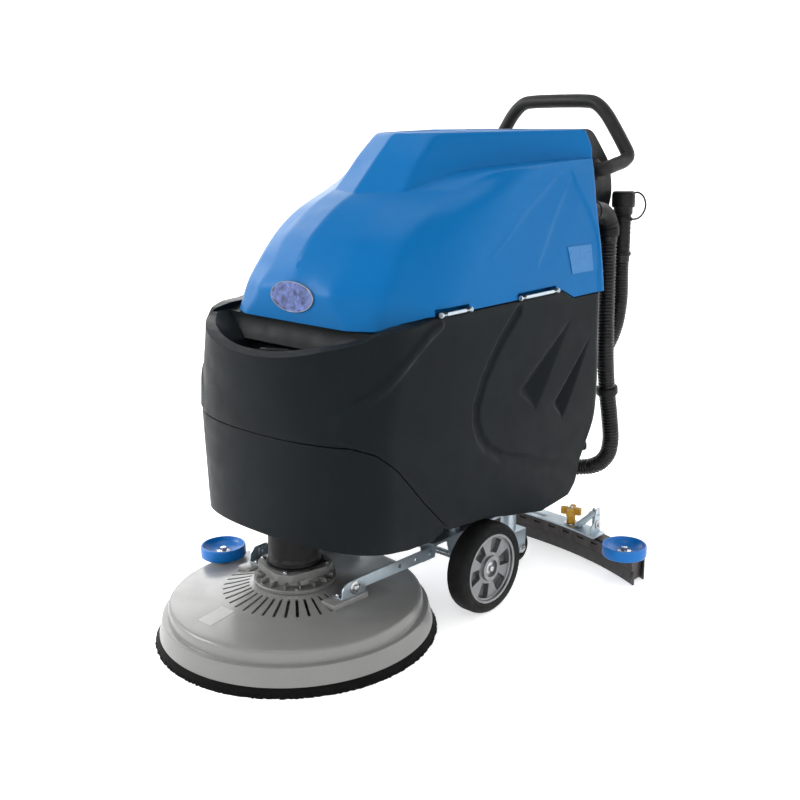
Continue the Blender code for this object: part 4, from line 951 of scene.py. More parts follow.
def tank_relief(y, z):
    """How far the sides are pressed in: two claws, a bent groove, and a shallow rib."""
    spot = Vector((y, z))
    depth = 0.0
    for tip, left, bottom, low in CLAWS:
        for a, b in ((tip, left), (bottom, tip), (left, bottom)):
            found = in_triangle(spot, a, b, low, 0.016)
            if found is not None:
                depth = max(depth, found)
    if depth == 0.0:
        away, _ = near_line(y, z, GROOVE)
        fade = 1 - smooth_step(y, 0.42, 0.64) * (1.0 if z < 0.35 else 0.0)
        depth = 0.0046 * (1 - smooth_step(away, 0.0055, 0.0125)) * fade
    away, _ = near_line(y, z, RIB)
    return depth - 0.0046 * (1 - smooth_step(away, 0.003, 0.014))


def body_plan():
    """Places round half the body in plan: ("front", angle), ("side", share), ("corner", angle)."""
    front_steps, side_steps, corner_steps = 64, 191, 8
    return ([("front", math.pi / 2 * (1 - i / front_steps)) for i in range(front_steps + 1)]
            + [("side", i / side_steps) for i in range(1, side_steps)]
            + [("corner", math.pi / 2 * i / corner_steps) for i in range(corner_steps + 1)])


def body_spot(kind, value, z):
    """A place in plan at one height, and the way out from it."""
    half_width, middle, depth = (eased(z, [(row[0], row[k]) for row in BODY]) for k in (1, 2, 3))
    if kind == "front":
        power = 2 / 2.2
        across, forward = math.cos(value), math.sin(value)
        x = half_width * max(across, 0.0) ** power
        y = middle - depth * max(forward, 0.0) ** power
        out = Vector((max(across, 0.0) ** (2 - power) / half_width,
                      -max(forward, 0.0) ** (2 - power) / depth))
        return x, y, out.normalized()
    if kind == "side":
        return half_width, middle + (SIDE_END - middle) * value, Vector((1.0, 0.0))
    return (half_width - REAR_CORNER * (1 - math.cos(value)),
            SIDE_END + REAR_CORNER * math.sin(value),
            Vector((math.cos(value), math.sin(value))))


def body_skin(low, high, relief, rows=96, edge=0.0022):
    """A closed body between two lines in side view, its edges rounded."""
    columns = []
    steps = [(0.0, edge), (0.25, edge * 0.35), (0.6, edge * 0.08), (1.0, 0.0)]
    for kind, value in body_plan():
        ends = []
        for line in (low, high):
            z = 0.45
            for _ in range(12):
                y = body_spot(kind, value, z)[1]
                z = float(np.interp(y, *zip(*line)))
            ends.append(z)
        z_low, z_high = ends
        if z_high - z_low < 0.012:
            continue
        heights = [(z_low + edge * t, inset) for t, inset in steps]
        heights += [(z_low + edge + (z_high - z_low - 2 * edge) * k / rows, 0.0)
                    for k in range(1, rows)]
        heights += [(z_high - edge * t, inset) for t, inset in reversed(steps)]
        column = []
        for z, inset in heights:
            x, y, out = body_spot(kind, value, z)
            if relief and abs(out.x) > 0.3:
                inset += tank_relief(y, z) * smooth_step(abs(out.x), 0.3, 0.7) * (
                    smooth_step(z - z_low, 0.0, 0.012) * smooth_step(z_high - z, 0.0, 0.012))
            column.append(Vector((x - out.x * inset, y - out.y * inset, z)))
        columns.append(column)
    columns[0] = [Vector((0.0, p.y, p.z)) for p in columns[0]]
    whole = [[Vector((-p.x, p.y, p.z)) for p in column] for column in columns[:0:-1]] + columns
    shape = Shape().grid(whole, closed=False)
    half = len(columns)
    for side in (0, -1):
        strip = []
        for k in range(half):
            right, left = columns[k][side], Vector(columns[k][side])
            left.x = -left.x
            strip.append([left.lerp(right, i / 12) for i in range(13)])
        shape.grid(strip, closed=False)
    last = columns[-1]
    wall = [[Vector((-p.x, p.y, p.z)).lerp(p, i / 12) for i in range(13)] for p in last]
    return shape.grid(wall, closed=False)


def pocket_rings():
    """The fill pocket: its lip slopes in to a smaller D-shaped hole over a deeper well."""
    rings = []
    for z, half_width, front, rear in (
            (0.720, 0.2260, -0.0885, 0.034), (0.664, 0.2255, -0.0885, 0.034),
            (0.648, 0.2200, -0.0885, 0.033), (0.638, 0.2100, -0.0880, 0.032),
            (0.626, 0.1900, -0.0870, 0.028), (0.612, 0.1640, -0.0855, 0.020),
            (0.604, 0.1460, -0.0845, 0.012), (0.600, 0.1380, -0.0840, 0.008),
            (0.598, 0.1360, -0.0838, 0.009), (0.594, 0.1360, -0.0835, 0.016),
            (0.590, 0.1360, -0.0830, 0.021), (0.580, 0.1330, -0.0810, 0.020),
            (0.577, 0.1260, -0.0760, 0.016)):
        ring = []
        for i in range(61):
            angle = math.pi * i / 60
            across = math.copysign(abs(math.cos(angle)) ** 0.9, math.cos(angle))
            ring.append(Vector((half_width * across,
                                rear - (rear - front) * math.sin(angle) ** 0.9, z)))
        right, left = ring[0], ring[-1]
        ring += [left.lerp(right, k / 12) for k in range(1, 12)]
        rings.append(ring)
    return rings[::-1]


def make_tank():
    """The tank's outer skin with its battery bay and fill pocket, and the rear hose bosses."""
    tank = body_skin([(y + 0.0004, z + 0.0004) for y, z in TANK_LOW], TANK_HIGH, True).make(
        "solution_tank_skin", "charcoal", "chassis", "charcoal_tank", "solution_tank")
    bay = [(0.262, 0.285), (0.660, 0.285), (0.690, 0.348), (0.706, 0.412), (0.717, 0.428),
           (0.717, 0.700), (0.262, 0.700)]
    carve(tank, cutter(Shape().side(bay, -0.200, 0.200, 0.006)))
    carve(tank, cutter(Shape().grid(pocket_rings(), caps=(True, True))))
    seat = [(-0.010, 0.645), (0.0475, 0.645), (0.100, 0.6600), (0.100, 0.700), (-0.010, 0.700)]
    carve(tank, cutter(Shape().side(seat, -0.228, 0.228, 0.0)))
    for x, z, radius in ((0.115, 0.408, 0.024), (0.145, 0.330, 0.018)):
        move = aimed((x, 0.660, z), (0, 1, 0))
        boss = Shape().lathe([(0.0, 0.0), (radius, 0.0), (radius, 0.0790), (radius - 0.002, 0.0815),
                              (0.0, 0.0815)], move, 40)
        boss.make(f"tank_boss_{int(z * 1000)}", "charcoal", "chassis", "charcoal_tank")
    finish_cut(tank, "charcoal", 32)


def make_front_shell():
    """The hollow shroud below the seam."""
    shell = body_skin(SHELL_LOW, [(y - 0.0004, z - 0.0006) for y, z in SEAM], True,
                      rows=60).make(
        "front_shell_skin", "charcoal", "chassis", "charcoal_tank", "front_shell")
    hollow = [(-0.200, 0.4450), (-0.050, 0.4420), (-0.018, 0.4280), (0.032, 0.3850),
              (0.111, 0.2990), (0.170, 0.2370), (0.170, 0.180), (-0.200, 0.180)]
    space = cutter(Shape().side(hollow, -0.238, 0.238, 0.0))
    front = cutter(body_skin([(-0.2, 0.19), (0.2, 0.19)], [(-0.2, 0.46), (0.2, 0.46)], False,
                             rows=24, edge=0.0001), "shell_round")
    front.scale = (0.955, 1.0, 1.0)
    front.location = (0.0, 0.006, 0.0)
    bpy.context.view_layer.update()
    carve(space, front, "INTERSECT")
    carve(shell, space)
    finish_cut(shell, "charcoal", 32)


def make_fill_cap():
    """A screw cap with a grip across it and ridges round it."""
    place = Matrix.Translation((0.0, -0.030, 0.575))
    cap = Shape().lathe([(0.0, 0.0003), (0.044, 0.0003), (0.046, 0.003), (0.046, 0.012),
                         (0.044, 0.0145), (0.034, 0.0155), (0.031, 0.0135), (0.0, 0.0135)],
                        place, 72)
    for i in range(24):
        cap.block((0.0445, -0.0016, 0.002), (0.0472, 0.0016, 0.0125), 0.0008,
                  place @ about_z(15 * i))
    cap.block((-0.030, -0.0055, 0.013), (0.030, 0.0055, 0.0275), 0.003,
              place @ Matrix.Rotation(0.5, 4, "Z"), 3)
    cap.make("fill_cap_skin", "black", "fill_cap", "black_plastic", "fill_cap")


def make_hinges():
    for name, (start, end) in zip(("hinge_front", "hinge_rear"), HINGE_SPANS):
        block = Shape().block((0.2405, start, 0.6663), (0.2650, end, 0.6693), 0.0006)
        for edge in (start + 0.004, end - 0.016):
            block.block((0.2600, edge, 0.6668), (0.2708, edge + 0.012, 0.6763), 0.0018)
        block.make(name + "_block", "black", "chassis", "black_plastic", name)
        bar = Shape().tube([Vector((0.2672, start - 0.002, 0.6713)),
                            Vector((0.2672, (start + end) / 2, 0.6713)),
                            Vector((0.2672, end + 0.002, 0.6713))], 0.0037, 24)
        for edge in (start - 0.0021, end - 0.0009):
            bar.lathe([(0.0, 0.0), (0.0050, 0.0), (0.0055, 0.0006), (0.0055, 0.0024),
                       (0.0050, 0.003), (0.0, 0.003)], aimed((0.2672, edge, 0.6713), (0, 1, 0)), 24)
        bar.make(name + "_rod", "zinc", "chassis", "zinc_steel")


# ---------------------------------------------------------------- console, handle, controls
PANEL = (Vector((0.0, 0.787, 1.000)), Vector((0.0, math.sqrt(0.5), -math.sqrt(0.5))),
         Vector((0.0, math.sqrt(0.5), math.sqrt(0.5))))
PANEL_MIDDLE = 0.053
KEY_X, SWITCH_X, DIAL_X, DISPLAY_X = -0.110, (-0.070, -0.030), 0.100, 0.035


def on_panel(x, down=PANEL_MIDDLE, out=0.0):
    """A frame on the console's slanted face: X across, Y up the slope, Z out of it."""
    edge, slope, normal = PANEL
    place = Vector((x, 0.0, 0.0)) + edge + slope * down + normal * out
    turn = Matrix((Vector((1, 0, 0)), -slope, normal)).transposed().to_4x4()
    return Matrix.Translation(place) @ turn


def panel_holes(radius):
    """The holes for the key, the two switches and the dial."""
    return [Shape().lathe(bar_profile(radius, -0.014, 0.012),
                          on_panel(x), 32) for x in (KEY_X, *SWITCH_X, DIAL_X)]


def make_console():
    """The upright column and the controls on its slanted face."""
    outline = rounded([(0.7282, 0.560), (0.7282, 0.9990), (0.787, 0.9995), (0.862, 0.925),
                       (0.876, 0.885), (0.880, 0.845), (0.860, 0.800), (0.810, 0.745),
                       (0.790, 0.700), (0.780, 0.560)], 0.024, 6)
    shape = Shape().side(outline, -0.1715, 0.1715, 0.007, 4)
    obj = shape.make("console_skin", "black", "chassis", "black_plastic", "console")
    inside = [(0.734, 0.540), (0.734, 0.780), (0.800, 0.780), (0.783, 0.702), (0.774, 0.540)]
    finish_cut(obj, "black", 35, Shape().side(inside, -0.165, 0.165, 0.004),
               *panel_holes(0.0095))
    trim = Shape().prism(plate_outline(0.150, -0.033, 0.033, 0.010), -0.0002, 0.0008, 0.0003,
                         on_panel(0.0))
    trim_obj = trim.make("console_panel", "grey", "chassis", "black_plastic")
    cut_out(trim_obj, "grey", *panel_holes(0.0100))
    bolts = Shape()
    for x in (-0.143, 0.143):
        for y in (-0.026, 0.026):
            bolts.lathe([(0.0, 0.0), (0.0042, 0.0), (0.0040, 0.0014), (0.0024, 0.0022),
                         (0.0, 0.0022)], on_panel(x, PANEL_MIDDLE - y, 0.0008), 24)
    bolts.make("console_bolts", "steel", "chassis", "zinc_steel")
    surround = Shape().prism(plate_outline(0.0345, -0.030, 0.030, 0.004), 0.0008, 0.0042, 0.0012,
                             on_panel(DISPLAY_X))
    surround.make("display_frame", "black", "chassis", "switch_grey", "charge_display")
    lens = Shape().prism(plate_outline(0.027, -0.010, 0.022, 0.003), 0.0040, 0.0046, 0.0002,
                         on_panel(DISPLAY_X))
    lens.make("display_lens", "lens", "chassis", "switch_grey")
    bars = Shape()
    for i in range(6):
        x = -0.020 + 0.008 * i
        bars.prism(rounded([(x - 0.0028, -0.022), (x + 0.0028, -0.022), (x + 0.0028, -0.016),
                            (x - 0.0028, -0.016)], 0.001), 0.0040, 0.0047, 0.0002, on_panel(DISPLAY_X))
    bars.make("display_bars", "film", "chassis", "switch_grey")
    for name, x in zip(("brush_switch", "vacuum_switch"), SWITCH_X):
        head = Shape().lathe([(0.0, -0.010), (0.0082, -0.010), (0.0082, 0.0045), (0.0118, 0.0050),
                              (0.0124, 0.0065), (0.0124, 0.0090), (0.0114, 0.0106),
                              (0.0080, 0.0102), (0.0, 0.0094)], on_panel(x), 40)
        head.make(name + "_cap", "grey", name, "switch_grey", name)
        collar = Shape().lathe([(0.0131, 0.0), (0.0162, 0.0), (0.0162, 0.0028),
                                (0.0152, 0.0040), (0.0131, 0.0040)], on_panel(x), 40, closed=True)
        collar.make(name + "_collar", "black", "chassis", "black_plastic")
    key = Shape().lathe([(0.0, -0.012), (0.0078, -0.012), (0.0078, 0.0012), (0.0068, 0.0020),
                         (0.0, 0.0020)], on_panel(KEY_X), 32)
    bow = plate_outline(0.0088, 0.010, 0.036, 0.006)
    stand = on_panel(KEY_X) @ Matrix.Rotation(math.radians(90), 4, "X")
    key.prism(bow, -0.0013, 0.0013, 0.0005, stand)
    key.prism([(-0.0035, 0.001), (0.0035, 0.001), (0.0035, 0.0115), (-0.0035, 0.0115)], -0.0010,
              0.0010, 0.0003, stand)
    key.make("key_metal", "zinc", "key_switch", "zinc_steel", "key_switch")
    ring = Shape().lathe([(0.0084, -0.002), (0.0128, -0.002), (0.0124, 0.0022), (0.0090, 0.0026),
                          (0.0084, 0.0020)], on_panel(KEY_X), 40, closed=True)
    ring.make("key_escutcheon", "steel", "chassis", "zinc_steel")
    dial = Shape().lathe([(0.0, -0.010), (0.0082, -0.010), (0.0082, 0.0010), (0.0182, 0.0012),
                          (0.0188, 0.0030), (0.0160, 0.0130), (0.0146, 0.0143), (0.0, 0.0140)],
                         on_panel(DIAL_X), 48)
    for i in range(16):
        dial.block((0.0155, -0.0010, 0.0025), (0.0186, 0.0010, 0.0110), 0.0005,
                   on_panel(DIAL_X) @ about_z(22.5 * i))
    dial.block((-0.0008, 0.004, 0.0136), (0.0008, 0.0145, 0.0148), 0.0003, on_panel(DIAL_X))
    dial.make("water_dial_skin", "black", "water_dial", "black_plastic", "water_dial")


HANDLE_ROUTE = ((0.1723, 0.801, 0.908), (0.186, 0.801, 0.908), (0.196, 0.815, 0.911),
                (0.199, 0.850, 0.918), (0.2005, 0.884, 0.926), (0.197, 0.900, 0.944),
                (0.160, 0.900, 1.000), (0.133, 0.900, 1.035), (0.105, 0.900, 1.056),
                (0.072, 0.900, 1.061), (0.0, 0.900, 1.062))


def make_handle():
    """The bent tube, mirrored from its +X half, and a collar at each end."""
    half = curve_through(HANDLE_ROUTE, 0.004)
    line = half + [Vector((-p.x, p.y, p.z)) for p in half[-2::-1]]
    line, _ = evenly([Vector((p.x, min(p.y, 0.899), p.z)) for p in line], 0.004)
    Shape().tube(line, 0.0160, 32).make("handle_tube", "grip", "chassis", "black_plastic",
                                        "handle_bar")
    collars = Shape()
    for side in (-1, 1):
        collars.lathe([(0.0, 0.0), (0.0235, 0.0), (0.0250, 0.0012), (0.0250, 0.0062),
                       (0.0235, 0.0085), (0.0190, 0.0100), (0.0165, 0.0130), (0.0, 0.0130)],
                      aimed((side * 0.1710, 0.801, 0.908), (side, 0, 0)), 48)
    collars.make("handle_collars", "black", "chassis", "black_plastic")


def make_levers():
    """Two bent flat levers with ribbed grips, each on its side plate."""
    for name, x in (("squeegee_lever", -0.110), ("deck_lever", 0.010)):
        y, z = 0.812, 0.660
        outline = rounded([(y - 0.010, z - 0.010), (y + 0.010, z - 0.010), (y + 0.040, z - 0.120),
                           (y + 0.054, z - 0.160), (y + 0.040, z - 0.166),
                           (y + 0.020, z - 0.124), (y - 0.010, z + 0.012)], 0.006)
        shape = Shape().side(outline, x - 0.0083, x - 0.0037, 0.0010)
        grip = [(0.0, 0.0), (0.0086, 0.0), (0.0097, 0.0012)]
        for i in range(9):
            grip += [(0.0097, 0.004 + i * 0.0055), (0.0086, 0.0060 + i * 0.0055)]
        grip += [(0.0097, 0.0555), (0.0086, 0.0575), (0.0, 0.0575)]
        shape.lathe(grip, aimed((x - 0.035, y + 0.046, z - 0.160), (1, 0, 0)), 32)
        shape.make(name + "_skin", "black", name, "black_plastic", name)
        mount = Shape().side(rounded([(0.782, z - 0.030), (y, z - 0.012), (y + 0.011, z),
                                      (y, z + 0.012), (0.782, z + 0.030)], 0.005),
                             x - 0.0140, x - 0.0092, 0.0008)
        mount.lathe([(0.0, 0.0), (0.0050, 0.0), (0.0050, 0.0225), (0.0044, 0.0235),
                     (0.0, 0.0235)], aimed((x - 0.012, y, z), (1, 0, 0)), 24)
        mount.bolt((x - 0.0001, y, z), (1, 0, 0), 0.0042)
        mount.make(name + "_mount", "zinc", "chassis", "black_plastic")


# ---------------------------------------------------------------- hoses
SQUEEGEE_ROUTE = (
    (0.201, 0.826, 0.7565), (0.201, 0.826, 0.7000), (0.201, 0.827, 0.6200),
    (0.200, 0.830, 0.5400), (0.199, 0.836, 0.4600), (0.199, 0.847, 0.3800),
    (0.200, 0.861, 0.3100), (0.199, 0.872, 0.2500), (0.187, 0.878, 0.2050),
    (0.160, 0.876, 0.1740), (0.124, 0.864, 0.1620), (0.086, 0.838, 0.1600),
    (0.0606, 0.8126, 0.1600),
)
DRAIN_ROUTE = (
    (0.201, 0.885, 0.7040), (0.201, 0.885, 0.6600), (0.200, 0.888, 0.6000),
    (0.192, 0.888, 0.5400), (0.178, 0.880, 0.4900), (0.158, 0.862, 0.4500),
    (0.137, 0.833, 0.4230), (0.121, 0.798, 0.4100), (0.115, 0.768, 0.4080),
    (0.115, 0.7445, 0.4080),
)
SUMP_ROUTE = (
    (0.145, 0.7440, 0.3300), (0.145, 0.7680, 0.3300), (0.147, 0.7920, 0.3220),
    (0.149, 0.8070, 0.3000), (0.150, 0.8110, 0.2750), (0.150, 0.8110, 0.2480),
)
HOSE_SPLIT = 5
DRAIN_SPOT = (0.201, 0.885)


def row_frame(points):
    return [(p[0], p[1] - CENTRE_Y, p[2]) for p in points]


def line_length(points):
    return sum((Vector(b) - Vector(a)).length for a, b in zip(points, points[1:]))


def corrugated(line, radius, pitch, depth, cuff=0.018):
    """A hose with rounded rings: crests at the full radius, plain cuffs at both ends."""
    line, along = evenly(line, pitch / 6)
    length = along[-1]
    radii = []
    for s in along:
        wave = 0.5 + 0.5 * math.cos(2 * math.pi * s / pitch)
        edge = min(s, length - s)
        radii.append(radius if edge < cuff * 0.7 else radius - depth * (1 - wave ** 0.7))
    return Shape().tube(line, radii, 24)


def make_hoses():
    """Corrugated hoses; the suction hose is in two halves that meet at the clip."""
    whole = curve_through(SQUEEGEE_ROUTE, 0.01)
    split = Vector(SQUEEGEE_ROUTE[HOSE_SPLIT])
    middle = min(range(len(whole)), key=lambda i: (whole[i] - split).length)
    upper, lower = whole[:middle + 1], whole[middle:]
    cords = (
        ("squeegee_hose_upper_skin", upper, 0.0208, 0.0078, 0.0026, "squeegee_hose_upper"),
        ("squeegee_hose_lower_skin", lower, 0.0208, 0.0078, 0.0026, "squeegee_hose_lower"),
        ("drain_hose_skin", curve_through(DRAIN_ROUTE, 0.01), 0.0194, 0.0066, 0.0020,
         "drain_hose"),
        ("sump_hose_skin", curve_through(SUMP_ROUTE, 0.01), 0.0138, 0.0050, 0.0012,
         "sump_hose"),
    )
    made = {}
    for name, line, radius, pitch, depth, node in cords:
        blended = node.startswith("squeegee")
        obj = corrugated(line, radius, pitch, depth).make(
            name, "hose", "chassis", "black_hose", node, angle=60, ride=not blended)
        made[node] = (obj, line, radius)
    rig.blend(made["squeegee_hose_upper"][0], "chassis", "squeegee_swing",
             start=row_frame([(0.201, 0.827, 0.640)])[0], end=row_frame([split])[0])
    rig.blend(made["squeegee_hose_lower"][0], "squeegee_swing", "squeegee",
             start=row_frame([split])[0], end=row_frame([(0.075, 0.827, 0.160)])[0])
    make_sump_plug()
    clip = make_hose_clip(whole[middle - 1], split, whole[middle + 1])
    for node, pieces in (("squeegee_hose_upper", [clip]), ("squeegee_hose_lower", []),
                         ("drain_hose", [])):
        obj, line, radius = made[node]
        path = row_frame(line)
        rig.cord(obj, exit=path[0], length=round(line_length(path), 3), diameter=2 * radius,
                far_end="object", stiffness="stiff", lay="hanging", path=path, with_pieces=pieces)


def make_sump_plug():
    """The ridged screw plug on the clean-water spout."""
    x, y, z = SUMP_ROUTE[-1]
    plug = Shape().lathe([(0.0, 0.0005), (0.0142, 0.0005), (0.0168, 0.0020), (0.0168, 0.0165),
                          (0.0150, 0.0185), (0.0128, 0.0200), (0.0, 0.0200)],
                         Matrix.Translation((x, y, z - 0.0205)), 40)
    for i in range(14):
        move = (Matrix.Translation((x, y, z - 0.0205))
                @ Matrix.Rotation(2 * math.pi * i / 14, 4, "Z"))
        plug.block((0.0158, -0.0010, 0.0030), (0.0170, 0.0010, 0.0155), 0.0004, move)
    plug.make("sump_plug_skin", "black", "chassis", "black_plastic", "sump_plug")


def make_hose_clip(before, place, after):
    """A moulded band with a raised pad, halfway down the hose."""
    move = aimed(place, before - after)
    clip = Shape().lathe([(0.0218, -0.0085), (0.0258, -0.0085), (0.0264, -0.0075),
                          (0.0264, 0.0075), (0.0258, 0.0085), (0.0218, 0.0085)], move, 56,
                         closed=True)
    clip.block((-0.006, 0.0215, -0.0070), (0.006, 0.0262, 0.0070), 0.0012, move)
    return clip.make("hose_clip_skin", "black", "squeegee_swing", "black_plastic", "hose_clip")


def make_fittings():
    """The vacuum elbow, and the drain's neck and cap with its tether."""
    route = ((0.201, 0.7285, 0.818), (0.201, 0.765, 0.818), (0.201, 0.795, 0.812),
             (0.201, 0.816, 0.797), (0.201, 0.826, 0.776), (0.201, 0.826, 0.7573))
    line, along = evenly(curve_through(route, 0.004), 0.002)
    radii = []
    for s in along:
        left = along[-1] - s
        cuff = 1.0 if left < 0.020 or s < 0.010 else 0.0
        radii.append(0.0222 + 0.0022 * cuff)
    radii[-1] = radii[0] = 0.0236
    elbow = Shape().tube(line, radii, 40)
    for spot in (0.24, 0.80):
        k = int(spot * (len(line) - 1))
        move = aimed(line[k], line[k + 1] - line[k - 1])
        elbow.lathe([(0.0218, -0.0022), (0.0238, -0.0018), (0.0238, 0.0018), (0.0218, 0.0022)],
                    move, 40, closed=True)
    elbow.make("vacuum_elbow_skin", "black", "chassis", "black_plastic", "vacuum_elbow", angle=50)
    place = Matrix.Translation((*DRAIN_SPOT, 0.7048))
    profile = [(0.0172, 0.0), (0.0222, 0.0), (0.0225, 0.0010), (0.0225, 0.0070), (0.0196, 0.0100)]
    for i in range(6):
        z = 0.016 + 0.011 * i
        profile += [(0.0190, z), (0.0196, z + 0.0022), (0.0196, z + 0.0062), (0.0190, z + 0.0084)]
    profile += [(0.0195, 0.0950), (0.0225, 0.0980), (0.0225, 0.1126), (0.0172, 0.1126)]
    neck = Shape().lathe(profile, place, 48, closed=True)
    neck.block((0.1727, 0.872, 0.783), (0.1830, 0.898, 0.797), 0.002)
    neck.make("drain_neck_skin", "black", "chassis", "black_plastic", "drain_neck")
    top = Matrix.Translation((*DRAIN_SPOT, 0.818))
    cap = Shape().lathe([(0.0, 0.0004), (0.0262, 0.0004), (0.0268, 0.0014), (0.0268, 0.0290),
                         (0.0255, 0.0345), (0.0230, 0.0368), (0.0140, 0.0372), (0.0, 0.0372)],
                        top, 64)
    for i in range(30):
        cap.block((0.0260, -0.0009, 0.0030), (0.0270, 0.0009, 0.0285), 0.0003,
                  top @ Matrix.Rotation(2 * math.pi * i / 30, 4, "Z"))
    cap.make("drain_cap_skin", "black", "drain_cap", "black_plastic", "drain_cap")
    strap = curve_through(((0.2215, 0.885, 0.790), (0.240, 0.889, 0.794), (0.252, 0.892, 0.808),
                           (0.256, 0.893, 0.826), (0.250, 0.892, 0.844), (0.238, 0.889, 0.853),
                           (0.2290, 0.886, 0.852)), 0.003)
    tether = Shape().tube(strap, 0.0021, 16)
    tether.lathe([(0.0198, -0.004), (0.0224, -0.004), (0.0228, -0.003), (0.0228, 0.003),
                  (0.0224, 0.004), (0.0198, 0.004)], Matrix.Translation((*DRAIN_SPOT, 0.790)), 40,
                 closed=True)
    tether.make("drain_cap_tether", "black", "chassis", "black_plastic")


# ---------------------------------------------------------------- brush deck
def make_deck():
    """The dished cover with its fan of slots, the arms' feet, the roller's stud and a plate."""
    profile = [(0.0300, 0.1070), (0.0300, 0.1115), (0.0310, 0.1120), (0.0840, 0.1120),
               (0.0880, 0.1112), (0.0950, 0.1085), (0.1100, 0.1045), (0.1300, 0.0997),
               (0.1500, 0.0958), (0.1750, 0.0917), (0.2000, 0.0882), (0.2250, 0.0850),
               (0.2450, 0.0824), (0.2540, 0.0809), (0.2585, 0.0794), (0.2610, 0.0767),
               (0.2620, 0.0730), (0.2632, 0.0560), (0.2642, 0.0548), (0.2665, 0.0546),
               (0.2715, 0.0545), (0.2742, 0.0535), (0.2756, 0.0510), (0.2826, 0.0200),
               (0.2828, 0.0184), (0.2815, 0.0180), (0.2792, 0.0180), (0.2700, 0.0488),
               (0.2580, 0.0500), (0.2560, 0.0730), (0.1300, 0.0940), (0.0860, 0.1070)]
    cover = Shape().lathe(profile, None, 160, closed=True).make(
        "deck_cover_skin", "deck", "deck", "grey_deck", "deck_cover")
    slots = Shape()
    for i in range(20):
        turn = about_z(180 + 180 * (i + 0.5) / 20)
        outline = rounded([(0.095, -0.0031), (0.151, -0.0031), (0.151, 0.0031),
                           (0.095, 0.0031)], 0.0031, 5)
        slots.prism(outline, 0.080, 0.125, 0.0, turn)
    finish_cut(cover, "deck", 34, slots)
    feet = Shape()
    for side in (-1, 1):
        feet.block((side * 0.130 - 0.020, -0.032, 0.092), (side * 0.130 + 0.020, 0.062, 0.1064),
                   0.002)
    feet.make("deck_feet", "deck", "deck", "grey_deck")
    stud = Shape().lathe([(0.0, 0.0), (0.0075, 0.0), (0.0075, 0.006), (0.0048, 0.007),
                          (0.0048, 0.0300), (0.0, 0.0300)],
                         Matrix.Translation((-0.252, 0.008, 0.0785)), 28)
    stud.make("roller_stud", "steel", "deck", "grey_deck")
    rows = []
    for k in range(7):
        y = -0.222 + 0.0100 * k
        rows.append([Vector((x, y, dome_height(math.hypot(x, y)) + 0.0004))
                     for x in (-0.040 + 0.0067 * i for i in range(7))])
    thin_sheet(rows, (0.0, 0.0, -0.0010)).make("deck_plate", "film_grey", "deck", "grey_deck")


def dome_height(radius):
    """The cover's height at a distance from its middle."""
    return float(np.interp(radius, (0.130, 0.150, 0.175, 0.200, 0.225, 0.245),
                           (0.0997, 0.0958, 0.0917, 0.0882, 0.0850, 0.0824)))


def make_skirt():
    """A rubber-backed strip and its fringe of bristle tufts, each a little out of line."""
    strip = Shape().lathe([(0.2745, 0.0175), (0.2830, 0.0175), (0.2842, 0.0165),
                           (0.2868, 0.0095), (0.2805, 0.0085), (0.2765, 0.0150)], None, 160,
                          closed=True)
    strip.make("skirt_strip", "bristle", "deck", "bristle_black", "bristle_skirt")
    tufts = Shape()
    count = 520
    for i in range(count):
        angle = 2 * math.pi * (i + random.uniform(-0.20, 0.20)) / count
        out = random.uniform(0.2900, 0.2932)
        foot = random.uniform(0.0004, 0.0014)
        turn = Matrix.Rotation(angle, 4, "Z")
        tip = Matrix.Rotation(angle + random.uniform(-0.004, 0.004), 4, "Z")
        wide = 0.0024
        ring = []
        for spin, radius, z, half in ((turn, 0.2835, 0.0165, wide), (turn, 0.2880, 0.0085, wide),
                                      (tip, out, foot, wide * 1.15)):
            low = radius - 0.0050
            ring.append([spin @ Vector(c) for c in ((low, -half, z), (radius, -half, z),
                                                    (radius, half, z), (low, half, z))])
        tufts.grid(ring, caps=(True, True))
    tufts.make("skirt_bristles", "bristle", "deck", "bristle_black", angle=60)


def make_brush():
    """The brush's block on its drive boss, with seven rings of leaning tufts."""
    block = Shape().lathe([(0.0, 0.0995), (0.0205, 0.0995), (0.0220, 0.0985), (0.0255, 0.0950),
                           (0.0260, 0.0480), (0.0330, 0.0455), (0.2300, 0.0455), (0.2350, 0.0440),
                           (0.2375, 0.0360), (0.2340, 0.0330), (0.1050, 0.0300), (0.0, 0.0300)],
                          None, 96)
    block.make("brush_block", "grey", "brush", "bristle_black", "scrub_brush")
    bristles = Shape()
    for ring in range(7):
        radius = 0.118 + 0.018 * ring
        count = int(2 * math.pi * radius / 0.0105)
        for i in range(count):
            angle = 2 * math.pi * (i + 0.5 * (ring % 2)) / count
            turn = Matrix.Rotation(angle, 4, "Z")
            lean = 0.0022 * ring
            rows = []
            for z, out, half in ((0.0345, 0.0, 0.0026), (0.0006, lean, 0.0040)):
                rows.append([turn @ Vector((radius + out + half * math.cos(a),
                                            half * math.sin(a), z))
                             for a in (math.pi * k / 3 for k in range(6))])
            bristles.grid(rows, caps=(True, True))
    bristles.make("brush_bristles", "bristle", "brush", "bristle_black", angle=60)


GEARBOX_TURN = math.radians(-12.5)


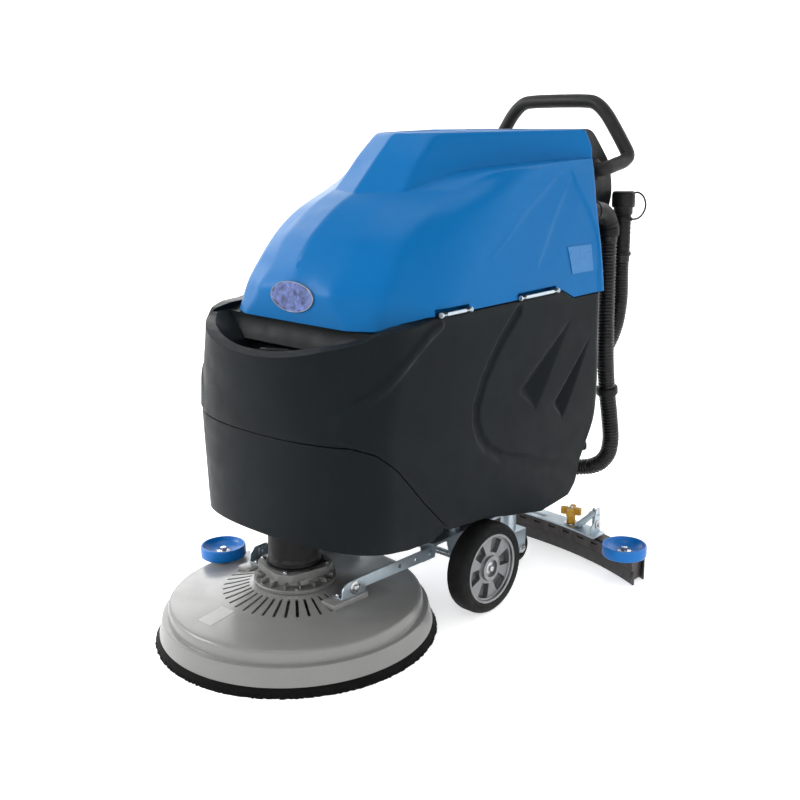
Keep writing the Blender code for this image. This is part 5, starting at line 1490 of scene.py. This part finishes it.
def make_gearbox():
    """A ribbed drum and a turned square plate with screws, under the round motor."""
    turn = Matrix.Rotation(GEARBOX_TURN, 4, "Z")
    drum = Shape().lathe([(0.0, 0.1123), (0.0845, 0.1123), (0.0860, 0.1134), (0.0860, 0.1186),
                          (0.0845, 0.1202), (0.0680, 0.1206), (0.0640, 0.1225),
                          (0.0612, 0.1290), (0.0604, 0.1350), (0.0, 0.1350)], None, 112)
    drum.make("gearbox_drum", "cast", "deck", "cast_grey", "gearbox")
    square = rounded([(-0.065, -0.043), (-0.043, -0.065), (0.043, -0.065), (0.065, -0.043),
                      (0.065, 0.043), (0.043, 0.065), (-0.043, 0.065), (-0.065, 0.043)], 0.006)
    plate = Shape().prism(square, 0.1345, 0.1500, 0.0018, turn, 3)
    for i in range(16):
        spin = Matrix.Rotation(math.radians(22.5 * i) + GEARBOX_TURN, 4, "Z")
        plate.block((0.058, -0.0018, 0.1195), (0.0800, 0.0018, 0.1290), 0.0014, spin)
    plate.make("gearbox_plate", "cast", "deck", "cast_grey")
    screws = Shape()
    for i in range(4):
        spot = turn @ (about_z(90 * i) @ Vector((0.0475, 0.0475, 0.1498)))
        screws.lathe([(0.0, 0.0), (0.0052, 0.0), (0.0052, 0.0042), (0.0046, 0.0048),
                      (0.0026, 0.0048), (0.0026, 0.0024), (0.0, 0.0024)],
                     aimed(spot, (0, 0, 1)), 28)
    for i in range(6):
        angle = math.radians(60 * i + 20)
        spot = Vector((0.0775 * math.cos(angle), 0.0775 * math.sin(angle), 0.1200))
        screws.lathe([(0.0, 0.0), (0.0040, 0.0), (0.0038, 0.0020), (0.0026, 0.0028),
                      (0.0, 0.0028)], aimed(spot, (0, 0, 1)), 24)
    screws.make("gearbox_screws", "steel", "deck", "cast_grey")
    motor = Shape().lathe([(0.0, 0.1503), (0.0590, 0.1503), (0.0598, 0.1512), (0.0598, 0.1538),
                           (0.0585, 0.1548), (0.0542, 0.1552), (0.0538, 0.1570),
                           (0.0538, 0.2520), (0.0520, 0.2570), (0.0460, 0.2618), (0.0, 0.2622)],
                          None, 96)
    motor.lathe([(0.0536, 0.1640), (0.0548, 0.1650), (0.0548, 0.1700), (0.0536, 0.1710)], None,
                96, closed=True)
    motor.lathe([(0.0536, 0.2390), (0.0548, 0.2400), (0.0548, 0.2450), (0.0536, 0.2460)], None,
                96, closed=True)
    motor.make("brush_motor_skin", "motor", "deck", "motor_black", "brush_motor")


def make_arms():
    """The flat lift arms, with the angle brackets that they are pinned to."""
    front, rear = (0.030, 0.124), (0.262, 0.120)
    for name, side in (("left", 1), ("right", -1)):
        outline = rounded([(front[0] - 0.012, front[1] - 0.009),
                           (front[0] - 0.012, front[1] + 0.009),
                           (front[0] + 0.004, front[1] + 0.0135), (rear[0] + 0.004, rear[1] + 0.016),
                           (rear[0] + 0.012, rear[1] + 0.008), (rear[0] + 0.012, rear[1] - 0.006),
                           (rear[0] + 0.004, rear[1] - 0.011), (front[0] + 0.004, front[1] - 0.0095)],
                          0.006)
        low, high = sorted((side * 0.138, side * 0.141))
        arm = Shape().side(outline, low, high, 0.0005)
        obj = arm.make(f"deck_arm_{name}_skin", "zinc", "deck_lift", "zinc_steel",
                       f"deck_arm_{name}")
        holes = [Shape().lathe(bar_profile(radius, -0.01, 0.01),
                               aimed((side * 0.1395, y, z), (1, 0, 0)), 28)
                 for y, z, radius in ((*front, 0.0060), (*rear, 0.0060), (0.165, 0.124, 0.0050),
                                      (0.215, 0.122, 0.0035))]
        finish_cut(obj, "zinc", 38, *holes)
        low, high = sorted((side * 0.1413, side * 0.1443))
        web = rounded([(-0.006, 0.1068), (-0.002, 0.128), (0.010, 0.1385), (0.040, 0.1395),
                       (0.060, 0.130), (0.060, 0.1068)], 0.004)
        bracket = Shape().side(web, low, high, 0.0005)
        low, high = sorted((side * 0.114, side * 0.1436))
        bracket.block((low, -0.006, 0.1068), (high, 0.014, 0.1098), 0.0006)
        low, high = sorted((side * 0.114, side * 0.1365))
        bracket.block((low, 0.010, 0.1068), (high, 0.060, 0.1098), 0.0006)
        low, high = sorted((side * 0.134, side * 0.150))
        bracket.lathe(bar_profile(0.0052, 0.0, 0.0160), aimed((low, *front), (1, 0, 0)), 24)
        bracket.make(f"deck_bracket_{name}_skin", "zinc", "deck", "zinc_steel",
                     f"deck_bracket_{name}")
        bolts = Shape().bolt((side * 0.1445, *front), (side, 0, 0), 0.0062)
        for y in (-0.0005, 0.045):
            bolts.lathe([(0.0, 0.0), (0.0066, 0.0), (0.0068, 0.0008), (0.0050, 0.0016),
                         (0.0048, 0.0032), (0.0036, 0.0044), (0.0, 0.0046)],
                        aimed((side * 0.126, y, 0.1097), (0, 0, 1)), 28)
        bolts.make(f"deck_bolts_{name}", "steel", "deck", "zinc_steel")


BUMPER_X, BUMPER_Y = 0.387, 0.645


def make_rollers():
    """Dished bumper rollers, each with the bolt that it turns on."""
    places = (("deck_bumper", (-0.252, 0.008, 0.0885), "deck_roller", "deck"),
              ("bumper_left", (BUMPER_X, BUMPER_Y, 0.0648), "roller_left", "squeegee"),
              ("bumper_right", (-BUMPER_X, BUMPER_Y, 0.0648), "roller_right", "squeegee"))
    for name, place, body, holder in places:
        move = Matrix.Translation(place)
        roller = Shape().lathe([(0.0056, 0.0002), (0.0450, 0.0002), (0.0480, 0.0010),
                                (0.0496, 0.0030), (0.0499, 0.0060), (0.0499, 0.0225),
                                (0.0492, 0.0255), (0.0475, 0.0268), (0.0455, 0.0266),
                                (0.0440, 0.0245), (0.0425, 0.0210), (0.0380, 0.0170),
                                (0.0290, 0.0128), (0.0200, 0.0108), (0.0165, 0.0104),
                                (0.0056, 0.0104)], move, 96, closed=True)
        roller.make(name + "_skin", "roller", body, "roller_blue", name)
        bolt = Shape().bolt((place[0], place[1], place[2] + 0.0108), (0, 0, 1), 0.0070)
        bolt.make(name + "_bolt", "steel", holder, "zinc_steel")


# ---------------------------------------------------------------- wheels
WHEEL_X, AXLE_SPOT = 0.238, (0.325, 0.100)


def make_wheels():
    """Each rim has six windows pressed between wide spokes, and a hub with its bolt."""
    for name, side in (("left", 1), ("right", -1)):
        move = aimed((side * WHEEL_X, *AXLE_SPOT), (side, 0, 0))
        body = "wheel_" + name
        rim = Shape().lathe([(0.0088, -0.0215), (0.0260, -0.0215), (0.0265, -0.0100),
                             (0.0690, -0.0150), (0.0705, -0.0235), (0.0765, -0.0238),
                             (0.0768, 0.0225), (0.0757, 0.0238), (0.0722, 0.0240),
                             (0.0706, 0.0228), (0.0700, 0.0170), (0.0685, 0.0155),
                             (0.0600, 0.0152), (0.0300, 0.0148), (0.0280, 0.0152),
                             (0.0270, 0.0175), (0.0266, 0.0212), (0.0256, 0.0220),
                             (0.0190, 0.0220), (0.0184, 0.0212), (0.0184, 0.0155),
                             (0.0088, 0.0150)], move, 144, closed=True)
        obj = rim.make(f"rim_{name}_skin", "rim", body, "aluminium_rim", f"rim_{name}")
        near, far = math.radians(19.0), math.radians(15.5)
        windows = Shape()
        for i in range(6):
            turn = move @ about_z(60 * i + 8)
            outline = [(0.0345 * math.cos(a), 0.0345 * math.sin(a))
                       for a in (-near, -near / 3, near / 3, near)]
            outline += [(0.0665 * math.cos(a), 0.0665 * math.sin(a))
                        for a in (far, far / 2, 0.0, -far / 2, -far)]
            windows.prism(rounded(outline, 0.0035, 3), 0.0020, 0.030, 0.0012, turn)
        finish_cut(obj, "rim", 32, windows)
        tyre = Shape().lathe([(0.0772, -0.0245), (0.0790, -0.0256), (0.0840, -0.0259),
                              (0.0890, -0.0256), (0.0935, -0.0240), (0.0968, -0.0208),
                              (0.0988, -0.0165), (0.0998, -0.0110), (0.09995, 0.0),
                              (0.0998, 0.0110), (0.0988, 0.0165), (0.0968, 0.0208),
                              (0.0935, 0.0240), (0.0890, 0.0256), (0.0868, 0.0257),
                              (0.0860, 0.0252), (0.0852, 0.0257), (0.0820, 0.0259),
                              (0.0790, 0.0256), (0.0772, 0.0245)], move, 144, closed=True)
        tyre.make(f"tyre_{name}_skin", "tyre", body, "tyre_rubber", f"tyre_{name}")
        hub = Shape().bolt((side * (WHEEL_X + 0.0150), *AXLE_SPOT), (side, 0, 0), 0.0060)
        hub.make(f"hub_bolt_{name}", "steel", body, "zinc_steel")


def make_casters():
    """Small wheels with their bolts; the forks are CAD nodes."""
    for name, side in (("left", 1), ("right", -1)):
        place = (side * 0.130, 0.578, 0.0375)
        wheel = Shape().lathe([(0.0047, -0.0115), (0.0120, -0.0118), (0.0135, -0.0095),
                               (0.0250, -0.0095), (0.0262, -0.0118), (0.0310, -0.0122),
                               (0.0352, -0.0110), (0.0371, -0.0070), (0.03745, 0.0),
                               (0.0371, 0.0070), (0.0352, 0.0110), (0.0310, 0.0122),
                               (0.0262, 0.0118), (0.0250, 0.0095), (0.0135, 0.0095),
                               (0.0120, 0.0118), (0.0047, 0.0115)], aimed(place, (1, 0, 0)), 80,
                              closed=True)
        wheel.make(f"caster_wheel_{name}_skin", "tyre", "caster_wheel_" + name, "tyre_rubber",
                   f"caster_wheel_{name}")
        bolts = Shape()
        for way in (-1, 1):
            bolts.bolt((place[0] + way * 0.0211, place[1], place[2]), (way, 0, 0), 0.0048)
        bolts.make(f"caster_bolts_{name}", "steel", "caster_" + name, "zinc_steel")


# ---------------------------------------------------------------- squeegee
BOW, BOW_POWER = 0.721, 2.5
KNOB_X, KNOB_Y = 0.190, 0.722
INLET = (0.0, 0.742)


def blade_line(x):
    """Where the squeegee's bowed front edge is, seen from above."""
    return 0.720 - BOW * abs(x) ** BOW_POWER


def crescent(half_width, front, rear, count=121):
    """A band that follows the bow, from front to rear of its line."""
    spots = [half_width * (2 * i / (count - 1) - 1) for i in range(count)]
    return ([(x, blade_line(x) + front) for x in spots]
            + [(x, blade_line(x) + rear) for x in reversed(spots)])


def make_squeegee():
    """The cast bar between two rubber blades, with its slots, ears, end plates and studs."""
    casting = Shape().prism(crescent(0.4045, 0.0060, 0.0416), 0.0245, 0.0605, 0.0022,
                            segments=3)
    obj = casting.make("squeegee_casting_skin", "cast_dark", "squeegee", "cast_grey",
                       "squeegee_casting")
    carve(obj, cutter(Shape().prism(crescent(0.4100, 0.0006, 0.0120), 0.0300, 0.0580, 0.0014)),
          "UNION")
    slots = Shape()
    for i in range(17):
        x = -0.368 + 0.046 * i
        slope = math.copysign(BOW * BOW_POWER * abs(x) ** (BOW_POWER - 1), -x)
        move = (Matrix.Translation((x, blade_line(x), 0.0))
                @ Matrix.Rotation(math.atan(slope), 4, "Z"))
        slots.block((-0.0100, -0.004, 0.0455), (0.0100, 0.0045, 0.0510), 0.0020, move)
    slots.lathe(bar_profile(0.018, 0.010, 0.050), Matrix.Translation((*INLET, 0.0)), 48)
    finish_cut(obj, "cast_dark", 34, slots)
    ears = Shape()
    for side in (-1, 1):
        ear = side * BUMPER_X
        ears.block((ear - 0.015, 0.633, 0.0526), (ear + 0.015, 0.672, 0.0643), 0.0025)
        ears.lathe(bar_profile(0.0050, 0.0, 0.0200), Matrix.Translation((ear, BUMPER_Y, 0.055)), 24)
        end = side * 0.4062
        line = blade_line(end)
        ears.block((end - 0.0030, line + 0.0030, 0.0060), (end + 0.0030, line + 0.0440, 0.0585),
                   0.0012)
    ears.make("squeegee_ears", "cast_dark", "squeegee", "cast_grey")
    pins = Shape()
    for side in (-1, 1):
        profile = [(0.0, 0.0)]
        for i in range(22):
            profile += [(0.0043, 0.001 + 0.0025 * i), (0.0037, 0.00225 + 0.0025 * i)]
        profile += [(0.0, 0.0565)]
        pins.lathe(profile, Matrix.Translation((side * KNOB_X, KNOB_Y, 0.056)), 24)
    pins.make("squeegee_studs", "steel", "squeegee", "zinc_steel")
    front = Shape().prism(crescent(0.4170, 0.0, 0.0040), 0.0, 0.0300, 0.0006)
    front.make("front_blade_skin", "blade", "squeegee", "blade_rubber", "front_blade")
    rear = Shape().prism(crescent(0.4170, 0.0434, 0.0473), 0.0, 0.0518, 0.0006)
    rear.make("rear_blade_skin", "blade", "squeegee", "blade_rubber", "rear_blade")


def make_bracket():
    """The zinc-plated lifting bracket, with its adjusters and swivel."""
    low = 0.0645
    plate = Shape().prism(crescent(0.285, -0.012, 0.036, 61), low, low + 0.004, 0.0008)
    obj = plate.make("squeegee_bracket_skin", "zinc", "squeegee", "zinc_steel",
                     "squeegee_bracket")
    cuts = Shape().lathe(bar_profile(0.027, 0.040, 0.090), Matrix.Translation((*INLET, 0.0)), 48)
    for side in (-1, 1):
        cuts.lathe(bar_profile(0.0053, 0.050, 0.080),
                   Matrix.Translation((side * KNOB_X, KNOB_Y, 0.0)), 32)
        cuts.prism(rounded([(side * 0.095 - 0.022, 0.716), (side * 0.095 + 0.022, 0.716),
                            (side * 0.095 + 0.022, 0.728), (side * 0.095 - 0.022, 0.728)],
                           0.006), 0.050, 0.080, 0.0)
    finish_cut(obj, "zinc", 34, cuts)
    y, z = 0.535, 0.128
    web = rounded([(y - 0.012, z - 0.010), (y - 0.012, z + 0.012), (y + 0.012, z + 0.012),
                   (0.640, 0.118), (0.728, 0.094), (0.728, low + 0.001), (0.700, low + 0.001),
                   (0.640, 0.092)], 0.005)
    webs, bolts = Shape(), Shape()
    for side in (-1, 1):
        a, b = sorted((side * 0.0280, side * 0.0310))
        webs.side(web, a, b, 0.0005)
        ear = rounded([(0.686, low), (0.686, 0.086), (0.700, 0.098), (0.706, 0.128),
                       (0.722, 0.128), (0.724, 0.098), (0.724, low)], 0.003)
        a, b = sorted((side * 0.268, side * 0.271))
        webs.side(ear, a, b, 0.0005)
        webs.block((min(side * 0.252, side * 0.271), 0.7065, 0.110),
                   (max(side * 0.252, side * 0.271), 0.7215, 0.1130), 0.0006)
        swap = Matrix(((side, 0, 0, 0), (0, 0, -1, 0), (0, 1, 0, 0), (0, 0, 0, 1)))
        for near, far, rise in ((0.7020, 0.7042, 0.010), (0.7230, 0.7252, 0.010),
                                (0.7042, 0.7230, 0.0022)):
            outline = [(0.214, low + 0.004), (0.222, low + 0.004), (0.268, 0.1120),
                       (0.268, 0.1120 + rise), (0.260, 0.1120 + rise), (0.214, low + 0.004 + rise)]
            webs.prism(outline, -far, -near, 0.0004, swap)
        bolts.bolt((side * 0.259, 0.714, 0.1130), (0, 0, 1), 0.0060, length=0.006)
        thread = [(0.0, 0.0)]
        for i in range(16):
            thread += [(0.0034, 0.001 + 0.0026 * i), (0.0029, 0.0023 + 0.0026 * i)]
        thread += [(0.0, 0.0430)]
        bolts.lathe(thread, Matrix.Translation((side * 0.259, 0.714, 0.0675)), 20)
        bolts.bolt((side * 0.0312, y, z), (side, 0, 0), 0.0060)
        bolts.bolt((side * 0.2712, 0.714, 0.088), (side, 0, 0), 0.0050)
    webs.make("squeegee_webs", "zinc", "squeegee", "zinc_steel")
    bolts.make("squeegee_bolts", "steel", "squeegee", "zinc_steel")
    route = ((*INLET, 0.0613), (*INLET, 0.090), (0.005, 0.748, 0.122),
             (0.018, 0.765, 0.148), (0.037, 0.789, 0.160), (0.060, 0.812, 0.160))
    line, along = evenly(curve_through(route, 0.004), 0.0025)
    radii = [0.0222 if s < 0.008 or along[-1] - s < 0.020 else 0.0200 for s in along]
    Shape().tube(line, radii, 40).make("squeegee_inlet_skin", "black", "squeegee",
                                       "black_plastic", "squeegee_inlet", angle=50)


def make_knobs():
    """Four-armed hand nuts, each on a big washer."""
    low = 0.0688
    for name, side in (("knob_left", 1), ("knob_right", -1)):
        place = Matrix.Translation((side * KNOB_X, KNOB_Y, low))
        washer = Shape().lathe([(0.0052, 0.0), (0.0165, 0.0), (0.0169, 0.0006),
                                (0.0165, 0.0018), (0.0052, 0.0018)], place, 48, closed=True)
        washer.make(f"{name}_washer", "steel", name, "zinc_steel")
        knob = Shape().lathe([(0.0052, 0.0019), (0.0102, 0.0019), (0.0110, 0.0030),
                              (0.0104, 0.0120), (0.0098, 0.0200), (0.0112, 0.0240),
                              (0.0112, 0.0370), (0.0098, 0.0392), (0.0052, 0.0394)], place, 40,
                             closed=True)
        for quarter in range(4):
            turn = place @ about_z(90 * quarter + 20)
            outline = rounded([(0.006, -0.0062), (0.0245, -0.0074), (0.0252, 0.0), (0.0245, 0.0074),
                               (0.006, 0.0062)], 0.0045, 5)
            knob.prism(outline, 0.0235, 0.0398, 0.0024, turn, 3)
        knob.make(f"{name}_skin", "knob", name, "knob_yellow", f"squeegee_{name}")


DRESSED = (
    ("battery_left", "battery"), ("battery_right", "battery"), ("vacuum_motor", "motor"),
    ("chassis_frame", "zinc"), ("axle", "steel"), ("caster_fork_left", "zinc"),
    ("caster_fork_right", "zinc"), ("squeegee_swivel", "zinc"),
)


def make_pieces():
    make_hoses()
    make_hood()
    make_badge()
    make_hood_labels()
    make_tank()
    make_front_shell()
    make_fill_cap()
    make_hinges()
    make_console()
    make_handle()
    make_levers()
    make_fittings()
    make_deck()
    make_skirt()
    make_brush()
    make_gearbox()
    make_arms()
    make_rollers()
    make_wheels()
    make_casters()
    make_squeegee()
    make_bracket()
    make_knobs()
    for node, look in DRESSED:
        dress(node, look)


# ---------------------------------------------------------------- the view
def make_view():
    data = bpy.data.cameras.new("camera")
    data.lens = 48.6
    data.sensor_width = 36.0
    data.clip_end = 60.0
    camera = bpy.data.objects.new("camera", data)
    bpy.context.scene.collection.objects.link(camera)
    azimuth, tilt, roll = (math.radians(a) for a in (43.307, 14.944, -0.778))
    ahead = Vector((-math.sin(azimuth) * math.cos(tilt), math.cos(azimuth) * math.cos(tilt),
                    -math.sin(tilt)))
    camera.matrix_world = (Matrix.Translation((1.580, -1.354 - CENTRE_Y, 1.042))
                           @ ahead.to_track_quat("-Z", "Y").to_matrix().to_4x4()
                           @ Matrix.Rotation(roll, 4, "Z"))
    bpy.context.scene.camera = camera


def make_stage():
    """A pale floor that sweeps up behind into a pale backdrop on every side."""
    mesh = bpy.data.meshes.new("floor")
    rings = [(0.0, 0.0), (6.0, 0.0)]
    rings += [(6.0 + 3.0 * math.sin(math.radians(a)), 3.0 - 3.0 * math.cos(math.radians(a)))
              for a in range(10, 91, 10)]
    rings.append((9.0, 9.0))
    sides = 72
    points = [(0.0, 0.0, 0.0)]
    faces = []
    for radius, height in rings[1:]:
        points += [(radius * math.cos(2 * math.pi * i / sides),
                    radius * math.sin(2 * math.pi * i / sides), height) for i in range(sides)]
    for i in range(sides):
        faces.append((0, 1 + i, 1 + (i + 1) % sides))
    for k in range(len(rings) - 2):
        for i in range(sides):
            j = (i + 1) % sides
            a, b = 1 + k * sides, 1 + (k + 1) * sides
            faces.append((a + i, b + i, b + j, a + j))
    mesh.from_pydata(points, [], faces)
    mesh.shade_smooth()
    floor = bpy.data.objects.new("floor", mesh)
    bpy.context.scene.collection.objects.link(floor)
    pale = Look("studio_floor", (0.90, 0.90, 0.90), 0.65)
    pale.mottle(0.8, 0.006).bump(pale.noise(30.0, 2.0), 0.01)
    pale.shader.inputs["Emission Color"].default_value = (1.0, 1.0, 1.0, 1.0)
    pale.shader.inputs["Emission Strength"].default_value = 0.52
    mesh.materials.append(pale.done(0.04, 3.0))
    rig.stage(floor)


def make_light():
    world = bpy.data.worlds.new("studio")
    world.use_nodes = True
    sky = world.node_tree.nodes["Background"]
    sky.inputs["Color"].default_value = (1.0, 1.0, 1.0, 1.0)
    sky.inputs["Strength"].default_value = 0.44
    bpy.context.scene.world = world
    bpy.context.scene.view_settings.view_transform = "Standard"
    lamps = (("key", (-3.0, -2.4, 2.8), 1.8, 125.0), ("fill", (3.8, -1.2, 2.2), 2.6, 9.0),
             ("rear", (0.6, 3.8, 2.6), 2.4, 30.0), ("top", (-0.4, 0.2, 4.4), 2.2, 50.0),
             ("left", (-3.4, 1.5, 1.9), 2.2, 38.0))
    for name, place, size, power in lamps:
        data = bpy.data.lights.new(name, "AREA")
        data.shape = "SQUARE"
        data.size = size
        data.energy = power
        lamp = bpy.data.objects.new(name, data)
        lamp.matrix_world = aimed(Vector(place), Vector(place) - Vector((0.0, 0.0, 0.5)))
        bpy.context.scene.collection.objects.link(lamp)


looks = make_looks()
make_view()
make_stage()
make_light()
make_pieces()
visual_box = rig.bounds()
with open("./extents.json", "w") as out:
    json.dump({"cad": [list(corner) for corner in cad_box],
               "visual": [list(corner) for corner in visual_box]}, out)
